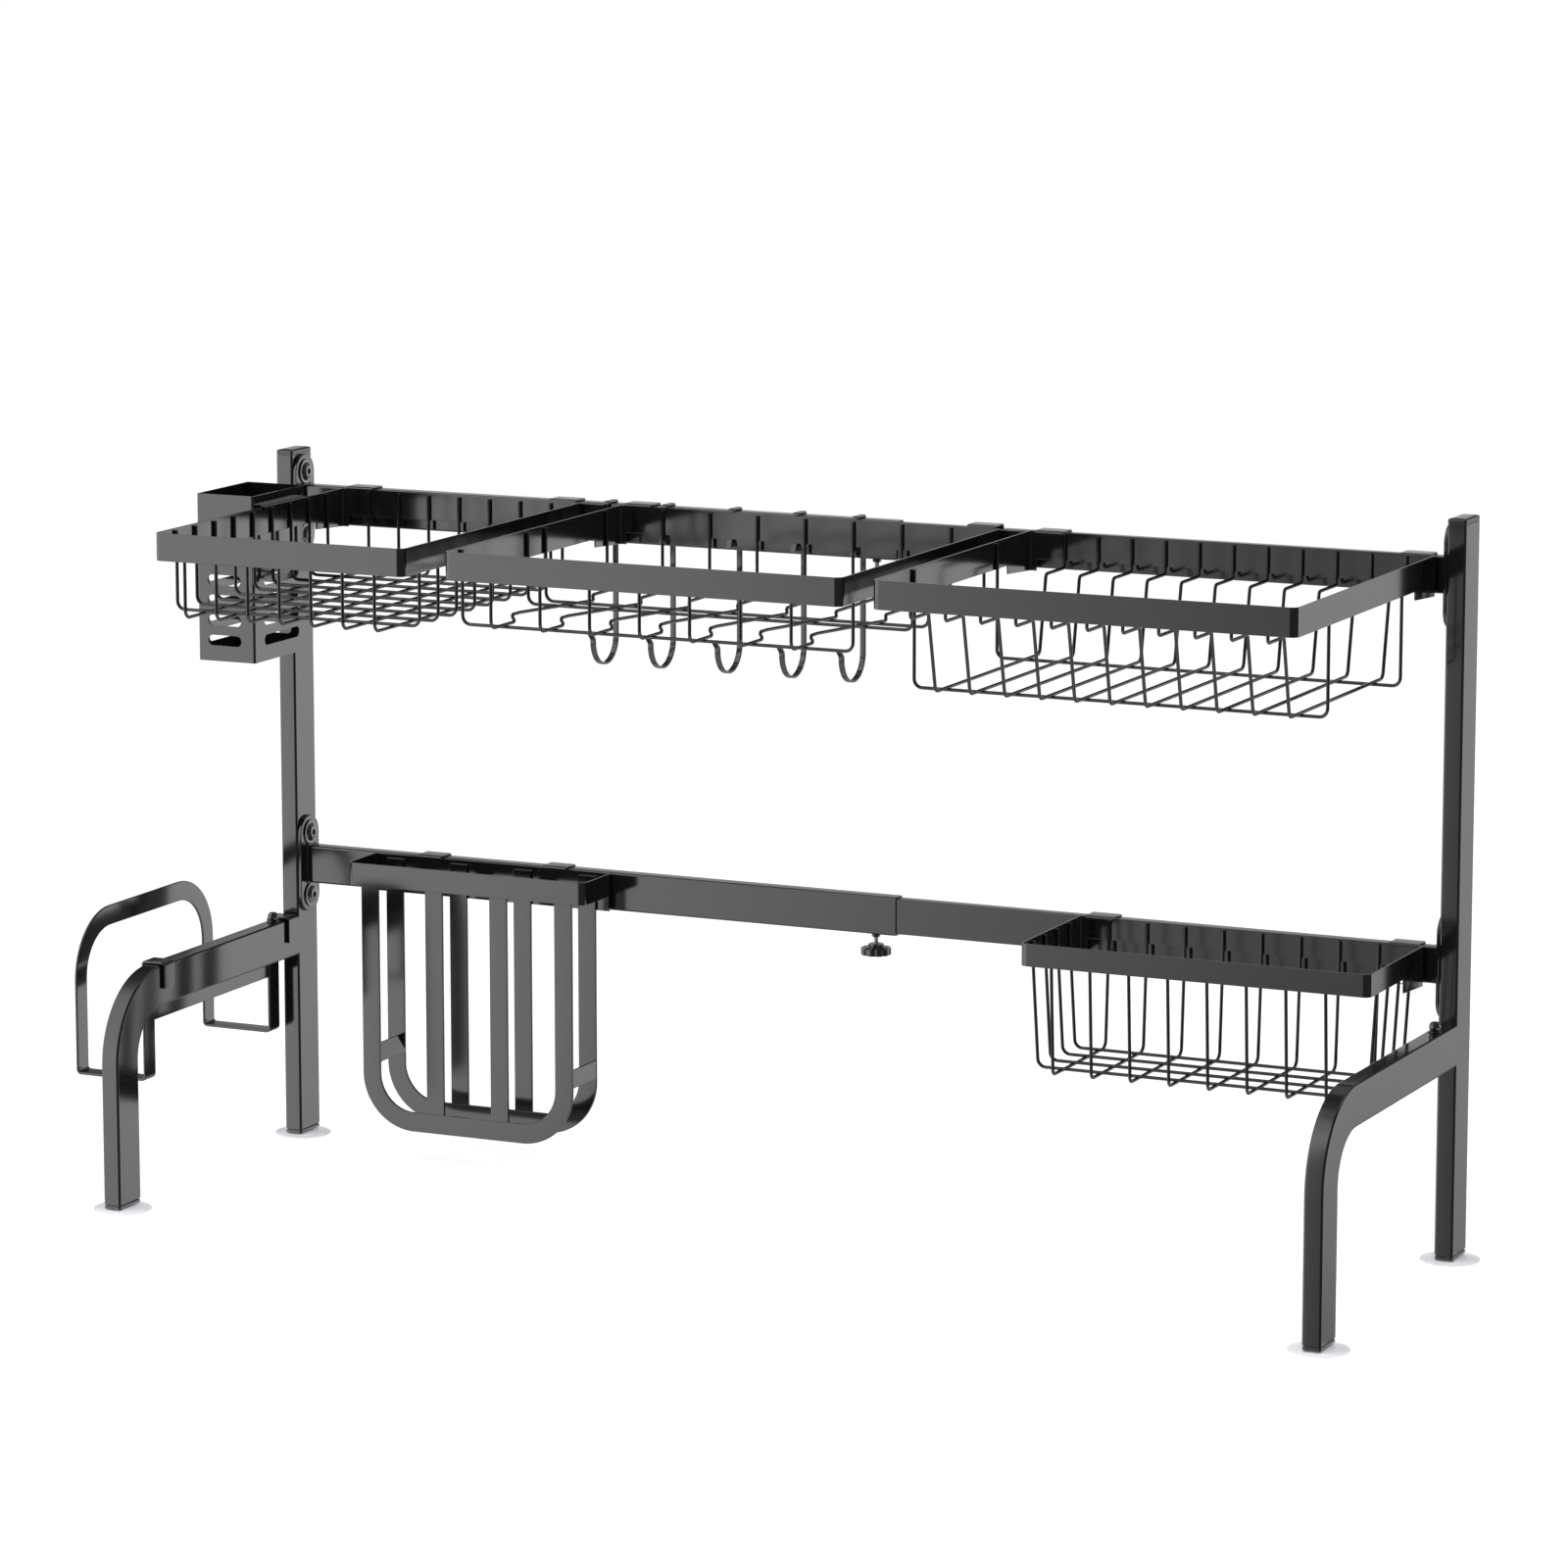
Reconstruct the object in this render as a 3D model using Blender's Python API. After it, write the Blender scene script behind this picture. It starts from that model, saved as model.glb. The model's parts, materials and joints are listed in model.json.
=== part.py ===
"""Extendable two-tier dish rack: two side frames on suction feet, joined by two telescopic beams
that carry four hanging baskets, a board holder, a utensil box, a side rack and five hooks."""
import math

import bmesh
import bpy
from mathutils import Matrix, Vector
from mathutils.geometry import tessellate_polygon

MM = 0.001
X_AXIS = Vector((1, 0, 0))
Y_AXIS = Vector((0, 1, 0))
Z_AXIS = Vector((0, 0, 1))

# Places are measured from the left upright's outer face (x), the uprights' front face (y)
# and the floor (z); the finished rack is moved so that the middle of its footprint is at zero.

# Whole rack
TOP_SPACE = 42 * MM
SEAT_GAP = 0.3 * MM
CUT_OVERRUN = 5 * MM

# Uprights and legs, of one flat oval-edged tube
TUBE_WIDTH = 14 * MM
TUBE_DEPTH = 30 * MM
TUBE_CORNER = 1.6 * MM
TUBE_WALL = 1.2 * MM
LEG_REACH = 270.5 * MM
LEG_BEND = 50 * MM
ARM_TOP = 174 * MM
SPIGOT_LENGTH = 45 * MM
SPIGOT_WALL = 1.2 * MM

# Caps, plugs and suction feet
CAP_HEIGHT = 4.5 * MM
CAP_CROWN = 1.2 * MM
CAP_CROWN_INSET = 1.5 * MM
INSERT_LENGTH = 6 * MM
PLUG_HEIGHT = 3.5 * MM
FOOT_RADIUS = 21.5 * MM
FOOT_RIM = 0.8 * MM
FOOT_HEIGHT = 2.5 * MM
FOOT_CROWN_RADIUS = 12 * MM

# Beams
BEAM_DEPTH = 14.5 * MM
BEAM_HEIGHT = 29 * MM
BEAM_WALL = 1 * MM
BEAM_CORNER = 1.6 * MM
BEAM_RUNNING_GAP = 0.25 * MM
UPPER_BEAM_AXIS = 492.5 * MM
LOWER_BEAM_AXIS = 213.5 * MM
OUTER_BEAM_LENGTH = 494.5 * MM
INNER_BEAM_LENGTH = 552 * MM

# Flanges and their bolts
FLANGE_THICKNESS = 2.5 * MM
FLANGE_WIDTH = 28 * MM
FLANGE_HEIGHT = 74.8 * MM
FLANGE_BOLT_OFFSET = 24.4 * MM
BOLT_RADIUS = 2.5 * MM
BOLT_HEAD_RADIUS = 5.2 * MM
BOLT_HEAD_HEIGHT = 3 * MM
BOLT_CROWN_RADIUS = 3.4 * MM
BOLT_END = 4 * MM
WASHER_RADIUS = 9.4 * MM
WASHER_THICKNESS = 1.4 * MM
BOLT_PLAY = 0.3 * MM

# Leg bolts, on top of the arms
LEG_BOLT_PLACE = 27 * MM
LEG_BOLT_HEAD_RADIUS = 5 * MM
LEG_BOLT_HEAD_HEIGHT = 4.5 * MM
LEG_BOLT_CROWN_RADIUS = 2.6 * MM

# Clamping screws under the outer beams
SCREW_END_SPACE = 17.8 * MM
STUD_RADIUS = 1.75 * MM
STUD_IN_KNOB = 8 * MM
NUT_RADIUS = 4.6 * MM
NUT_HEIGHT = 3.6 * MM
KNOB_RADIUS = 11.9 * MM
KNOB_LOBE = 0.7 * MM
KNOB_LOBES = 8
KNOB_HEIGHT = 9.5 * MM
KNOB_EDGE = 1 * MM
KNOB_BOSS_RADIUS = 6.2 * MM
KNOB_BOSS_HEIGHT = 2.3 * MM
KNOB_TO_NUT = 2.6 * MM

# Sheet and wire of the baskets
SHEET = 1.2 * MM
WIRE_RADIUS = 1.25 * MM
WELD_SINK = 0.3 * MM
WIRE_TOP_DROP = 3 * MM
WIRE_BEND = 6 * MM
BAND_FRONT_CORNER = 5.5 * MM
BAND_REAR_CORNER = 2 * MM
UPPER_BAND_HEIGHT = 20.3 * MM
LOWER_BAND_HEIGHT = 16.4 * MM
REAR_BAND_HEIGHT = 29 * MM
WING_LENGTH = 42 * MM
WING_RISE = 2.5 * MM
WING_FILLET = 1.5 * MM
WING_STEP = 0.4 * MM
TAB_WIDTH = 22 * MM
TAB_INSET = 4.5 * MM
TAB_NOTCH = 0.4 * MM
TAB_BEND = 0.5 * MM
TAB_DROP = 6 * MM

# Upper baskets
UPPER_BASKET_FRONT = 270.8 * MM
LEFT_BASKET_PLACE = 52.6 * MM
LEFT_BASKET_WIDTH = 203.2 * MM
LEFT_FLOOR_DROP = 46.5 * MM
LEFT_LONG_START = 24 * MM
LEFT_LONG_END = 24.58 * MM
LEFT_CROSS_START = 19.3 * MM
LEFT_CROSS_PITCH = 27.9 * MM
MIDDLE_BASKET_SPACE = 31.8 * MM
MIDDLE_BASKET_WIDTH = 307.6 * MM
MIDDLE_LONG_START = 36.6 * MM
MIDDLE_LONG_END = 38.8 * MM
MIDDLE_FLOOR_DROP = 38.3 * MM
MIDDLE_STEP_RISE = 5.7 * MM
MIDDLE_SLOPE_FALL = 7 * MM
MIDDLE_REAR_RISE = 4.4 * MM
MIDDLE_FRONT_STEP = 230.5 * MM
MIDDLE_FRONT_LEAN = 8 * MM
MIDDLE_SLOPE_START = 225 * MM
MIDDLE_REAR_STEP = 107.5 * MM
MIDDLE_REAR_LEAN = 3.4 * MM
MIDDLE_STEP_BEND = 1.3 * MM
MIDDLE_CROSS_PLACES = (246 * MM, 145 * MM, 117 * MM, 18 * MM)
RIGHT_BASKET_SPACE = 22.3 * MM
RIGHT_END_SPACE = 24.2 * MM
RIGHT_BASKET_WIDTH = 308.3 * MM
RIGHT_LONG_START = 28.3 * MM
RIGHT_LONG_END = 21.3 * MM
RIGHT_LEDGE_DROP = 11 * MM
RIGHT_FLOOR_DROP = 67.4 * MM
RIGHT_FRONT_LEDGE_END = 238 * MM
RIGHT_FRONT_FLOOR_END = 225.3 * MM
RIGHT_REAR_FLOOR_END = 40.2 * MM
RIGHT_REAR_LEDGE_END = 29.3 * MM
RIGHT_LEDGE_BEND = 3 * MM
RIGHT_FLOOR_BEND = 5 * MM
RIGHT_CROSS_PLACES = (203 * MM, 57 * MM)

# Lower basket
LOWER_END_SPACE = 27.7 * MM
LOWER_BASKET_WIDTH = 263.3 * MM
LOWER_BASKET_FRONT = 105.5 * MM
LOWER_FLOOR_DROP = 80.3 * MM
LOWER_LONG_START = 23.8 * MM
LOWER_LONG_END = 33.35 * MM
LOWER_CROSS_PITCH = 23.1 * MM
LOWER_CROSS_START = 16.2 * MM
LOWER_WIRE_BEND = 4 * MM
LOWER_LEAN = 4.5 * MM

# Board holder
HOLDER_PLACE = 77.6 * MM
HOLDER_WIDTH = 201.2 * MM
HOLDER_FRONT = 37 * MM
HOLDER_BAND_HEIGHT = 17.3 * MM
HOLDER_TAB_INSET = 37.5 * MM
HOLDER_TAB_WIDTH = 20 * MM
SLAT_WIDTH = 15 * MM
SLAT_THICKNESS = 2 * MM
SLAT_PITCH = 54.6 * MM
SLAT_COUNT = 4
GRID_DROP = 190 * MM
GRID_CORNER = 43 * MM
GRID_FILLET = 28 * MM
GRID_TOP_DROP = 3 * MM
STRAP_HEIGHT = 14.2 * MM
LEFT_STRAP_DROP = 138.9 * MM
RIGHT_STRAP_DROP = 144.1 * MM

# Utensil box
BOX_WIDTH = 48 * MM
BOX_DEPTH = 76 * MM
BOX_HEIGHT = 125 * MM
BOX_WALL = 1 * MM
BOX_CORNER = 1.6 * MM
BOX_PLACE = 1 * MM
BOX_REAR = 45.4 * MM
BOX_RISE = 8.2 * MM
BOX_SLOT_HEIGHT = 8 * MM
BOX_FRONT_SLOT = 28 * MM
BOX_SIDE_SLOT = 52 * MM
BOX_FRONT_SLOT_SHIFT = 1.6 * MM
BOX_SIDE_SLOT_SHIFT = 2.9 * MM
BOX_SLOT_PITCH = 15.1 * MM
BOX_SLOT_START = 15.6 * MM
BOX_SLOT_ROWS = 4
BOX_LIP_LENGTH = 62 * MM
BOX_LIP_BEND = 0.6 * MM
LIP_TO_WIRE = 0.8 * MM

# Side rack of flat bar
BAR_WIDTH = 15 * MM
BAR_THICKNESS = 2 * MM
RACK_REAR = 3.8 * MM
RACK_LENGTH = 201.5 * MM
RACK_OUT = 60 * MM
RACK_BOTTOM = 84.5 * MM
RACK_TOP = 204.5 * MM
RACK_ARCH_BEND = 35 * MM
RACK_BAR_BEND = 2 * MM
RACK_CROSS_BOTTOM = 128.5 * MM
RACK_LIP = 18 * MM
RACK_SIDE_GAP = 1.5 * MM

# Hooks
HOOK_PLACES = (276.3 * MM, 323.9 * MM, 378.7 * MM, 431 * MM, 478.9 * MM)
HOOK_WIDTH = 4.5 * MM
HOOK_THICKNESS = 1.6 * MM
HOOK_DROP = 105.5 * MM
HOOK_CURL = 23.2 * MM
HOOK_BEND = 1.6 * MM
HOOK_TIP_RISE = 1.5 * MM

# Worked out from the sizes above
MIDDLE_BASKET_PLACE = LEFT_BASKET_PLACE + LEFT_BASKET_WIDTH + MIDDLE_BASKET_SPACE
RIGHT_BASKET_PLACE = MIDDLE_BASKET_PLACE + MIDDLE_BASKET_WIDTH + RIGHT_BASKET_SPACE
RACK_WIDTH = RIGHT_BASKET_PLACE + RIGHT_BASKET_WIDTH + RIGHT_END_SPACE
LOWER_BASKET_PLACE = RACK_WIDTH - LOWER_END_SPACE - LOWER_BASKET_WIDTH
BEAM_BACK = (TUBE_DEPTH + BEAM_DEPTH) / 2
BEAM_FRONT = (TUBE_DEPTH - BEAM_DEPTH) / 2
BEAM_CENTRE = TUBE_DEPTH / 2
FLANGE_FACE = TUBE_WIDTH + SEAT_GAP + FLANGE_THICKNESS
SCREW_PLACE = FLANGE_FACE + SEAT_GAP + OUTER_BEAM_LENGTH - SCREW_END_SPACE
POST_BOTTOM = FOOT_HEIGHT + PLUG_HEIGHT
RACK_HEIGHT = UPPER_BEAM_AXIS + TOP_SPACE
POST_TOP = RACK_HEIGHT - CAP_HEIGHT
LEFT_BASKET_FLOOR = UPPER_BEAM_AXIS - LEFT_FLOOR_DROP
MIDDLE_FLOOR = UPPER_BEAM_AXIS - MIDDLE_FLOOR_DROP
RIGHT_LEDGE = UPPER_BEAM_AXIS - RIGHT_LEDGE_DROP
RIGHT_FLOOR = UPPER_BEAM_AXIS - RIGHT_FLOOR_DROP
LOWER_BASKET_FLOOR = LOWER_BEAM_AXIS - LOWER_FLOOR_DROP
GRID_BOTTOM = LOWER_BEAM_AXIS - GRID_DROP
LEFT_STRAP_LEVEL = LOWER_BEAM_AXIS - LEFT_STRAP_DROP
RIGHT_STRAP_LEVEL = LOWER_BEAM_AXIS - RIGHT_STRAP_DROP
HOOK_BOTTOM = UPPER_BEAM_AXIS - HOOK_DROP
INNER_BEAM_DROP = BEAM_WALL + BEAM_RUNNING_GAP
WIRE_FLAT = WIRE_RADIUS * math.cos(math.radians(30))
CROSS_OFFSET = 2 * WIRE_FLAT - WELD_SINK
WIRE_INSET = SHEET + SEAT_GAP + WIRE_FLAT
BASKET_BACK = BEAM_FRONT - SEAT_GAP

BLACK_PAINT = "black_paint"
BLACK_PLASTIC = "black_plastic"
ZINC_STEEL = "dark_steel"
CLEAR_RUBBER = "white_rubber"
FINISHES = {
    BLACK_PAINT: ((0.045, 0.045, 0.048, 1), 0.32, 0.1),
    BLACK_PLASTIC: ((0.02, 0.02, 0.021, 1), 0.45, 0.0),
    ZINC_STEEL: ((0.09, 0.09, 0.095, 1), 0.3, 0.9),
    CLEAR_RUBBER: ((0.86, 0.87, 0.88, 1), 0.4, 0.0),
}


def clear_scene():
    for item in list(bpy.data.objects):
        bpy.data.objects.remove(item, do_unlink=True)


def finish(name, kind):
    """A material of its own for one piece."""
    colour, roughness, metallic = FINISHES[kind]
    material = bpy.data.materials.new(name)
    material.use_nodes = True
    shader = material.node_tree.nodes["Principled BSDF"]
    shader.inputs["Base Color"].default_value = colour
    shader.inputs["Roughness"].default_value = roughness
    shader.inputs["Metallic"].default_value = metallic
    return material


def piece(name, solid, kind, origin=None):
    """Turn a bmesh into a named object whose own origin lies at `origin`."""
    mesh = bpy.data.meshes.new(name)
    solid.to_mesh(mesh)
    solid.free()
    mesh.materials.append(finish(name, kind))
    mesh.shade_smooth()
    mesh.set_sharp_from_angle(angle=math.radians(35))
    item = bpy.data.objects.new(name, mesh)
    bpy.context.scene.collection.objects.link(item)
    if origin is not None:
        mesh.transform(Matrix.Translation(-origin))
        item.location = origin
    return item


def rounded(corners, bend, steps, closed=False):
    """A polyline with its corners turned into arcs of `steps` chords."""
    corners = [Vector(corner) for corner in corners]
    bends = bend if isinstance(bend, (list, tuple)) else [bend] * len(corners)
    points = []
    for index, corner in enumerate(corners):
        end = not closed and index in (0, len(corners) - 1)
        if end or not bends[index]:
            points.append(corner)
            continue
        back = (corners[index - 1] - corner).normalized()
        ahead = (corners[(index + 1) % len(corners)] - corner).normalized()
        opening = back.angle(ahead)
        turn = math.pi - opening
        start = corner + back * (bends[index] / math.tan(opening / 2))
        stop = corner + ahead * (bends[index] / math.tan(opening / 2))
        centre = corner + (back + ahead).normalized() * (bends[index] / math.sin(opening / 2))
        for step in range(steps + 1):
            share = step / steps
            spoke = (start - centre) * math.sin((1 - share) * turn) + (stop - centre) * math.sin(share * turn)
            points.append(centre + spoke / math.sin(turn))
    return points


def oblong(width, height, corner, steps=2):
    """A rounded rectangle about zero, counter-clockwise."""
    half_width = width / 2
    half_height = height / 2
    corners = [(-half_width, -half_height), (half_width, -half_height),
               (half_width, half_height), (-half_width, half_height)]
    return rounded(corners, corner, steps, closed=True)


def circle(radius, sides, lobe=0, lobes=0):
    """A ring of points, or a wavy one with `lobes` waves."""
    points = []
    for side in range(sides):
        angle = 2 * math.pi * side / sides
        reach = radius + lobe * math.cos(lobes * angle)
        points.append(Vector((reach * math.cos(angle), reach * math.sin(angle))))
    return points


def loft(loops, ring=False):
    """Skin loops of equal count; a ring closes on itself, anything else gets two end faces."""
    solid = bmesh.new()
    rows = [[solid.verts.new(point) for point in loop] for loop in loops]
    faces = {}
    for row in range(len(rows) if ring else len(rows) - 1):
        lower = rows[row]
        upper = rows[(row + 1) % len(rows)]
        for column in range(len(lower)):
            beside = (column + 1) % len(lower)
            corners = (lower[column], lower[beside], upper[beside], upper[column])
            faces[row, column] = solid.faces.new(corners)
    if not ring:
        solid.faces.new(rows[0])
        solid.faces.new(rows[-1])
    bmesh.ops.recalc_face_normals(solid, faces=solid.faces)
    return solid, faces


def stations(path, outline, side, closed=False):
    """Loops of an outline carried along a flat path; `side` is square to the path's plane."""
    loops = []
    for index, point in enumerate(path):
        before = path[index] - path[index - 1] if closed or index else path[1] - path[0]
        last = not closed and index == len(path) - 1
        after = before if last else path[(index + 1) % len(path)] - point
        before = before.normalized()
        across = side.cross((before + after.normalized()).normalized())
        stretch = 1 / across.dot(side.cross(before))
        loops.append([point + side * u + across * (v * stretch) for u, v in outline])
    return loops


def in_plane(points, plane, level):
    """Lift flat points into space: `plane` names the two axes they use, `level` is the third."""
    first, second = ("XYZ".index(letter) for letter in plane)
    third = 3 - first - second
    lifted = []
    for point in points:
        place = [0, 0, 0]
        place[first] = point[0]
        place[second] = point[1]
        place[third] = level
        lifted.append(Vector(place))
    return lifted


def tube_along(path, side, width, depth, corner, wall):
    """A hollow tube of rounded rectangular section along a flat path, open at both ends."""
    outer = stations(path, oblong(width, depth, corner), side)
    inner_corner = max(corner - wall, corner / 4)
    inner = stations(path, oblong(width - 2 * wall, depth - 2 * wall, inner_corner), side)
    return loft(outer + inner[::-1], ring=True)[0]


def stack(levels, centre, axis="Z"):
    """A solid of flat outlines laid one on another along an axis: (height, outline) pairs."""
    plane = {"X": "YZ", "Y": "ZX", "Z": "XY"}[axis]
    loops = []
    for height, outline in levels:
        loop = in_plane(outline, plane, height)
        loops.append([centre + point for point in loop])
    return loft(loops)[0]


def plate(outline, holes, plane, level, thickness):
    """A flat sheet with holes; also gives the edge faces, by loop and point number."""
    loops = [outline] + holes
    flat = [[Vector((point[0], point[1], 0)) for point in loop] for loop in loops]
    triangles = tessellate_polygon(flat)
    solid = bmesh.new()
    near = []
    far = []
    for loop in loops:
        near.append([solid.verts.new(point) for point in in_plane(loop, plane, level)])
        far.append([solid.verts.new(point) for point in in_plane(loop, plane, level + thickness)])
    for side in (near, far):
        corners = [corner for loop in side for corner in loop]
        for triangle in triangles:
            solid.faces.new([corners[index] for index in triangle])
    edges = {}
    for number, (front, back) in enumerate(zip(near, far)):
        for index in range(len(front)):
            beside = (index + 1) % len(front)
            edges[number, index] = solid.faces.new((front[index], front[beside], back[beside], back[index]))
    bmesh.ops.recalc_face_normals(solid, faces=solid.faces)
    return solid, edges


def run(solid, face, step):
    """Extrude one face straight on."""
    face = bmesh.ops.extrude_discrete_faces(solid, faces=[face])["faces"][0]
    bmesh.ops.translate(solid, vec=step, verts=face.verts)
    return face


def bend(solid, face, centre, axis, angle, steps):
    """Extrude one face round a bend."""
    for _ in range(steps):
        face = bmesh.ops.extrude_discrete_faces(solid, faces=[face])["faces"][0]
        turn = Matrix.Rotation(math.radians(angle) / steps, 3, axis)
        bmesh.ops.rotate(solid, cent=centre, matrix=turn, verts=face.verts)
    return face


def combined(solids, operation):
    """Union of overlapping solids, or the first one less the others, as one new bmesh."""
    items = []
    for solid in solids:
        mesh = bpy.data.meshes.new("blank")
        solid.to_mesh(mesh)
        solid.free()
        items.append(bpy.data.objects.new("blank", mesh))
    tools = bpy.data.collections.new("tools")
    bpy.context.scene.collection.children.link(tools)
    bpy.context.scene.collection.objects.link(items[0])
    for item in items[1:]:
        tools.objects.link(item)
    boolean = items[0].modifiers.new("join", "BOOLEAN")
    boolean.operation = operation
    boolean.solver = "EXACT"
    boolean.operand_type = "COLLECTION"
    boolean.collection = tools
    graph = bpy.context.evaluated_depsgraph_get()
    result = bmesh.new()
    result.from_mesh(items[0].evaluated_get(graph).data)
    for item in items:
        bpy.data.objects.remove(item, do_unlink=True)
    bpy.data.collections.remove(tools)
    return result


def rod(centre, axis, radius, length, sides=12):
    """A plain round bar from `centre` on along an axis."""
    return stack([(0, circle(radius, sides)), (length, circle(radius, sides))], centre, axis)


def bolt(centre, axis, direction, shank, washer_radius, washer_thickness, head_radius, crown_radius, head_height):
    """A bolt with its washer; `centre` is on the seat, and the head stands towards `direction`."""
    sides = 10
    levels = [
        (-shank * direction, circle(BOLT_RADIUS, sides)),
        (0, circle(BOLT_RADIUS, sides)),
        (0, circle(washer_radius, sides)),
        (washer_thickness * direction, circle(washer_radius, sides)),
        (washer_thickness * direction, circle(head_radius, sides)),
        ((washer_thickness + head_height / 2) * direction, circle(head_radius, sides)),
        ((washer_thickness + head_height) * direction, circle(crown_radius, sides)),
    ]
    return stack(levels, centre, axis)


def side_x(side, inner_face_distance):
    """The x of a place that lies a given way in from a side frame's outer face."""
    return inner_face_distance if side == "left" else RACK_WIDTH - inner_face_distance


def build_upright(side):
    centre = side_x(side, TUBE_WIDTH / 2)
    path = [Vector((centre, TUBE_DEPTH / 2, POST_BOTTOM)), Vector((centre, TUBE_DEPTH / 2, POST_TOP))]
    tube = tube_along(path, X_AXIS, TUBE_WIDTH, TUBE_DEPTH, TUBE_CORNER, TUBE_WALL)
    inward = 1 if side == "left" else -1
    solids = [tube]
    for axis_height in (UPPER_BEAM_AXIS, LOWER_BEAM_AXIS):
        for offset in (FLANGE_BOLT_OFFSET, -FLANGE_BOLT_OFFSET):
            seat = Vector((centre, BEAM_CENTRE, axis_height + offset))
            length = inward * (TUBE_WIDTH / 2 + CUT_OVERRUN)
            cutter = stack([(0, circle(BOLT_RADIUS + BOLT_PLAY, 10)), (length, circle(BOLT_RADIUS + BOLT_PLAY, 10))],
                           seat, "X")
            solids.append(cutter)
    piece(side + "_upright", combined(solids, "DIFFERENCE"), BLACK_PAINT)


def leg_path(centre, arm_axis):
    corners = [(-SEAT_GAP, arm_axis), (TUBE_DEPTH / 2 - LEG_REACH, arm_axis), (TUBE_DEPTH / 2 - LEG_REACH, POST_BOTTOM)]
    return in_plane(rounded(corners, LEG_BEND, 7), "YZ", centre)


def build_leg(side):
    """The arm runs forward from the upright and bends down to its own foot; a spigot fixes it."""
    centre = side_x(side, TUBE_WIDTH / 2)
    arm_axis = ARM_TOP - TUBE_DEPTH / 2
    tube = tube_along(leg_path(centre, arm_axis), X_AXIS, TUBE_WIDTH, TUBE_DEPTH, TUBE_CORNER, TUBE_WALL)
    hole_radius = BOLT_RADIUS + BOLT_PLAY
    hole = rod(Vector((centre, -LEG_BOLT_PLACE, arm_axis)), "Z", hole_radius, TUBE_DEPTH / 2 + CUT_OVERRUN, 10)
    piece(side + "_leg", combined([tube, hole], "DIFFERENCE"), BLACK_PAINT)
    spigot_width = TUBE_WIDTH - 2 * (TUBE_WALL + SEAT_GAP)
    spigot_depth = TUBE_DEPTH - 2 * (TUBE_WALL + SEAT_GAP)
    path = [Vector((centre, -SEAT_GAP, arm_axis)), Vector((centre, -SPIGOT_LENGTH, arm_axis))]
    spigot = tube_along(path, X_AXIS, spigot_width, spigot_depth, TUBE_CORNER / 2, SPIGOT_WALL)
    hole = rod(Vector((centre, -LEG_BOLT_PLACE, arm_axis)), "Z", hole_radius, TUBE_DEPTH / 2 + CUT_OVERRUN, 10)
    piece(side + "_leg_spigot", combined([spigot, hole], "DIFFERENCE"), BLACK_PAINT)
    seat = Vector((centre, -LEG_BOLT_PLACE, ARM_TOP + SEAT_GAP))
    shank = TUBE_WALL + SPIGOT_WALL + BOLT_END
    solid = bolt(seat, "Z", 1, shank, LEG_BOLT_HEAD_RADIUS, WASHER_THICKNESS / 2,
                 LEG_BOLT_HEAD_RADIUS - WASHER_THICKNESS / 2, LEG_BOLT_CROWN_RADIUS, LEG_BOLT_HEAD_HEIGHT)
    piece(side + "_leg_bolt", solid, ZINC_STEEL)


def tube_stopper(centre, rim_start, rim_height, crown, direction):
    """A moulded end stop: an insert inside the tube and a rim flush with its outside."""
    insert_width = TUBE_WIDTH - 2 * (TUBE_WALL + SEAT_GAP)
    insert_depth = TUBE_DEPTH - 2 * (TUBE_WALL + SEAT_GAP)
    insert = oblong(insert_width, insert_depth, TUBE_CORNER / 2)
    rim = oblong(TUBE_WIDTH, TUBE_DEPTH, TUBE_CORNER)
    crown_outline = oblong(TUBE_WIDTH - 2 * CAP_CROWN_INSET, TUBE_DEPTH - 2 * CAP_CROWN_INSET, TUBE_CORNER)
    levels = [(rim_start - direction * INSERT_LENGTH, insert), (rim_start, insert), (rim_start, rim),
              (rim_start + direction * (rim_height - crown), rim)]
    if crown:
        levels.append((rim_start + direction * rim_height, crown_outline))
    return stack(levels, centre)


def build_ends(side):
    """Top cap of the upright, and a plug and a suction foot under the upright and the leg."""
    centre = side_x(side, TUBE_WIDTH / 2)
    cap = tube_stopper(Vector((centre, TUBE_DEPTH / 2, 0)), POST_TOP + SEAT_GAP, CAP_HEIGHT - SEAT_GAP, CAP_CROWN, 1)
    piece(side + "_top_cap", cap, BLACK_PLASTIC)
    for end, depth in (("rear", TUBE_DEPTH / 2), ("front", TUBE_DEPTH / 2 - LEG_REACH)):
        base = Vector((centre, depth, 0))
        plug = tube_stopper(base, POST_BOTTOM - SEAT_GAP, PLUG_HEIGHT - SEAT_GAP, 0, -1)
        piece(side + "_" + end + "_foot_plug", plug, BLACK_PLASTIC)
        sides = 20
        levels = [(0, circle(FOOT_RADIUS, sides)), (FOOT_RIM, circle(FOOT_RADIUS, sides)),
                  (FOOT_HEIGHT - SEAT_GAP, circle(FOOT_CROWN_RADIUS, sides))]
        piece(side + "_" + end + "_suction_foot", stack(levels, base), CLEAR_RUBBER)


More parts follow.
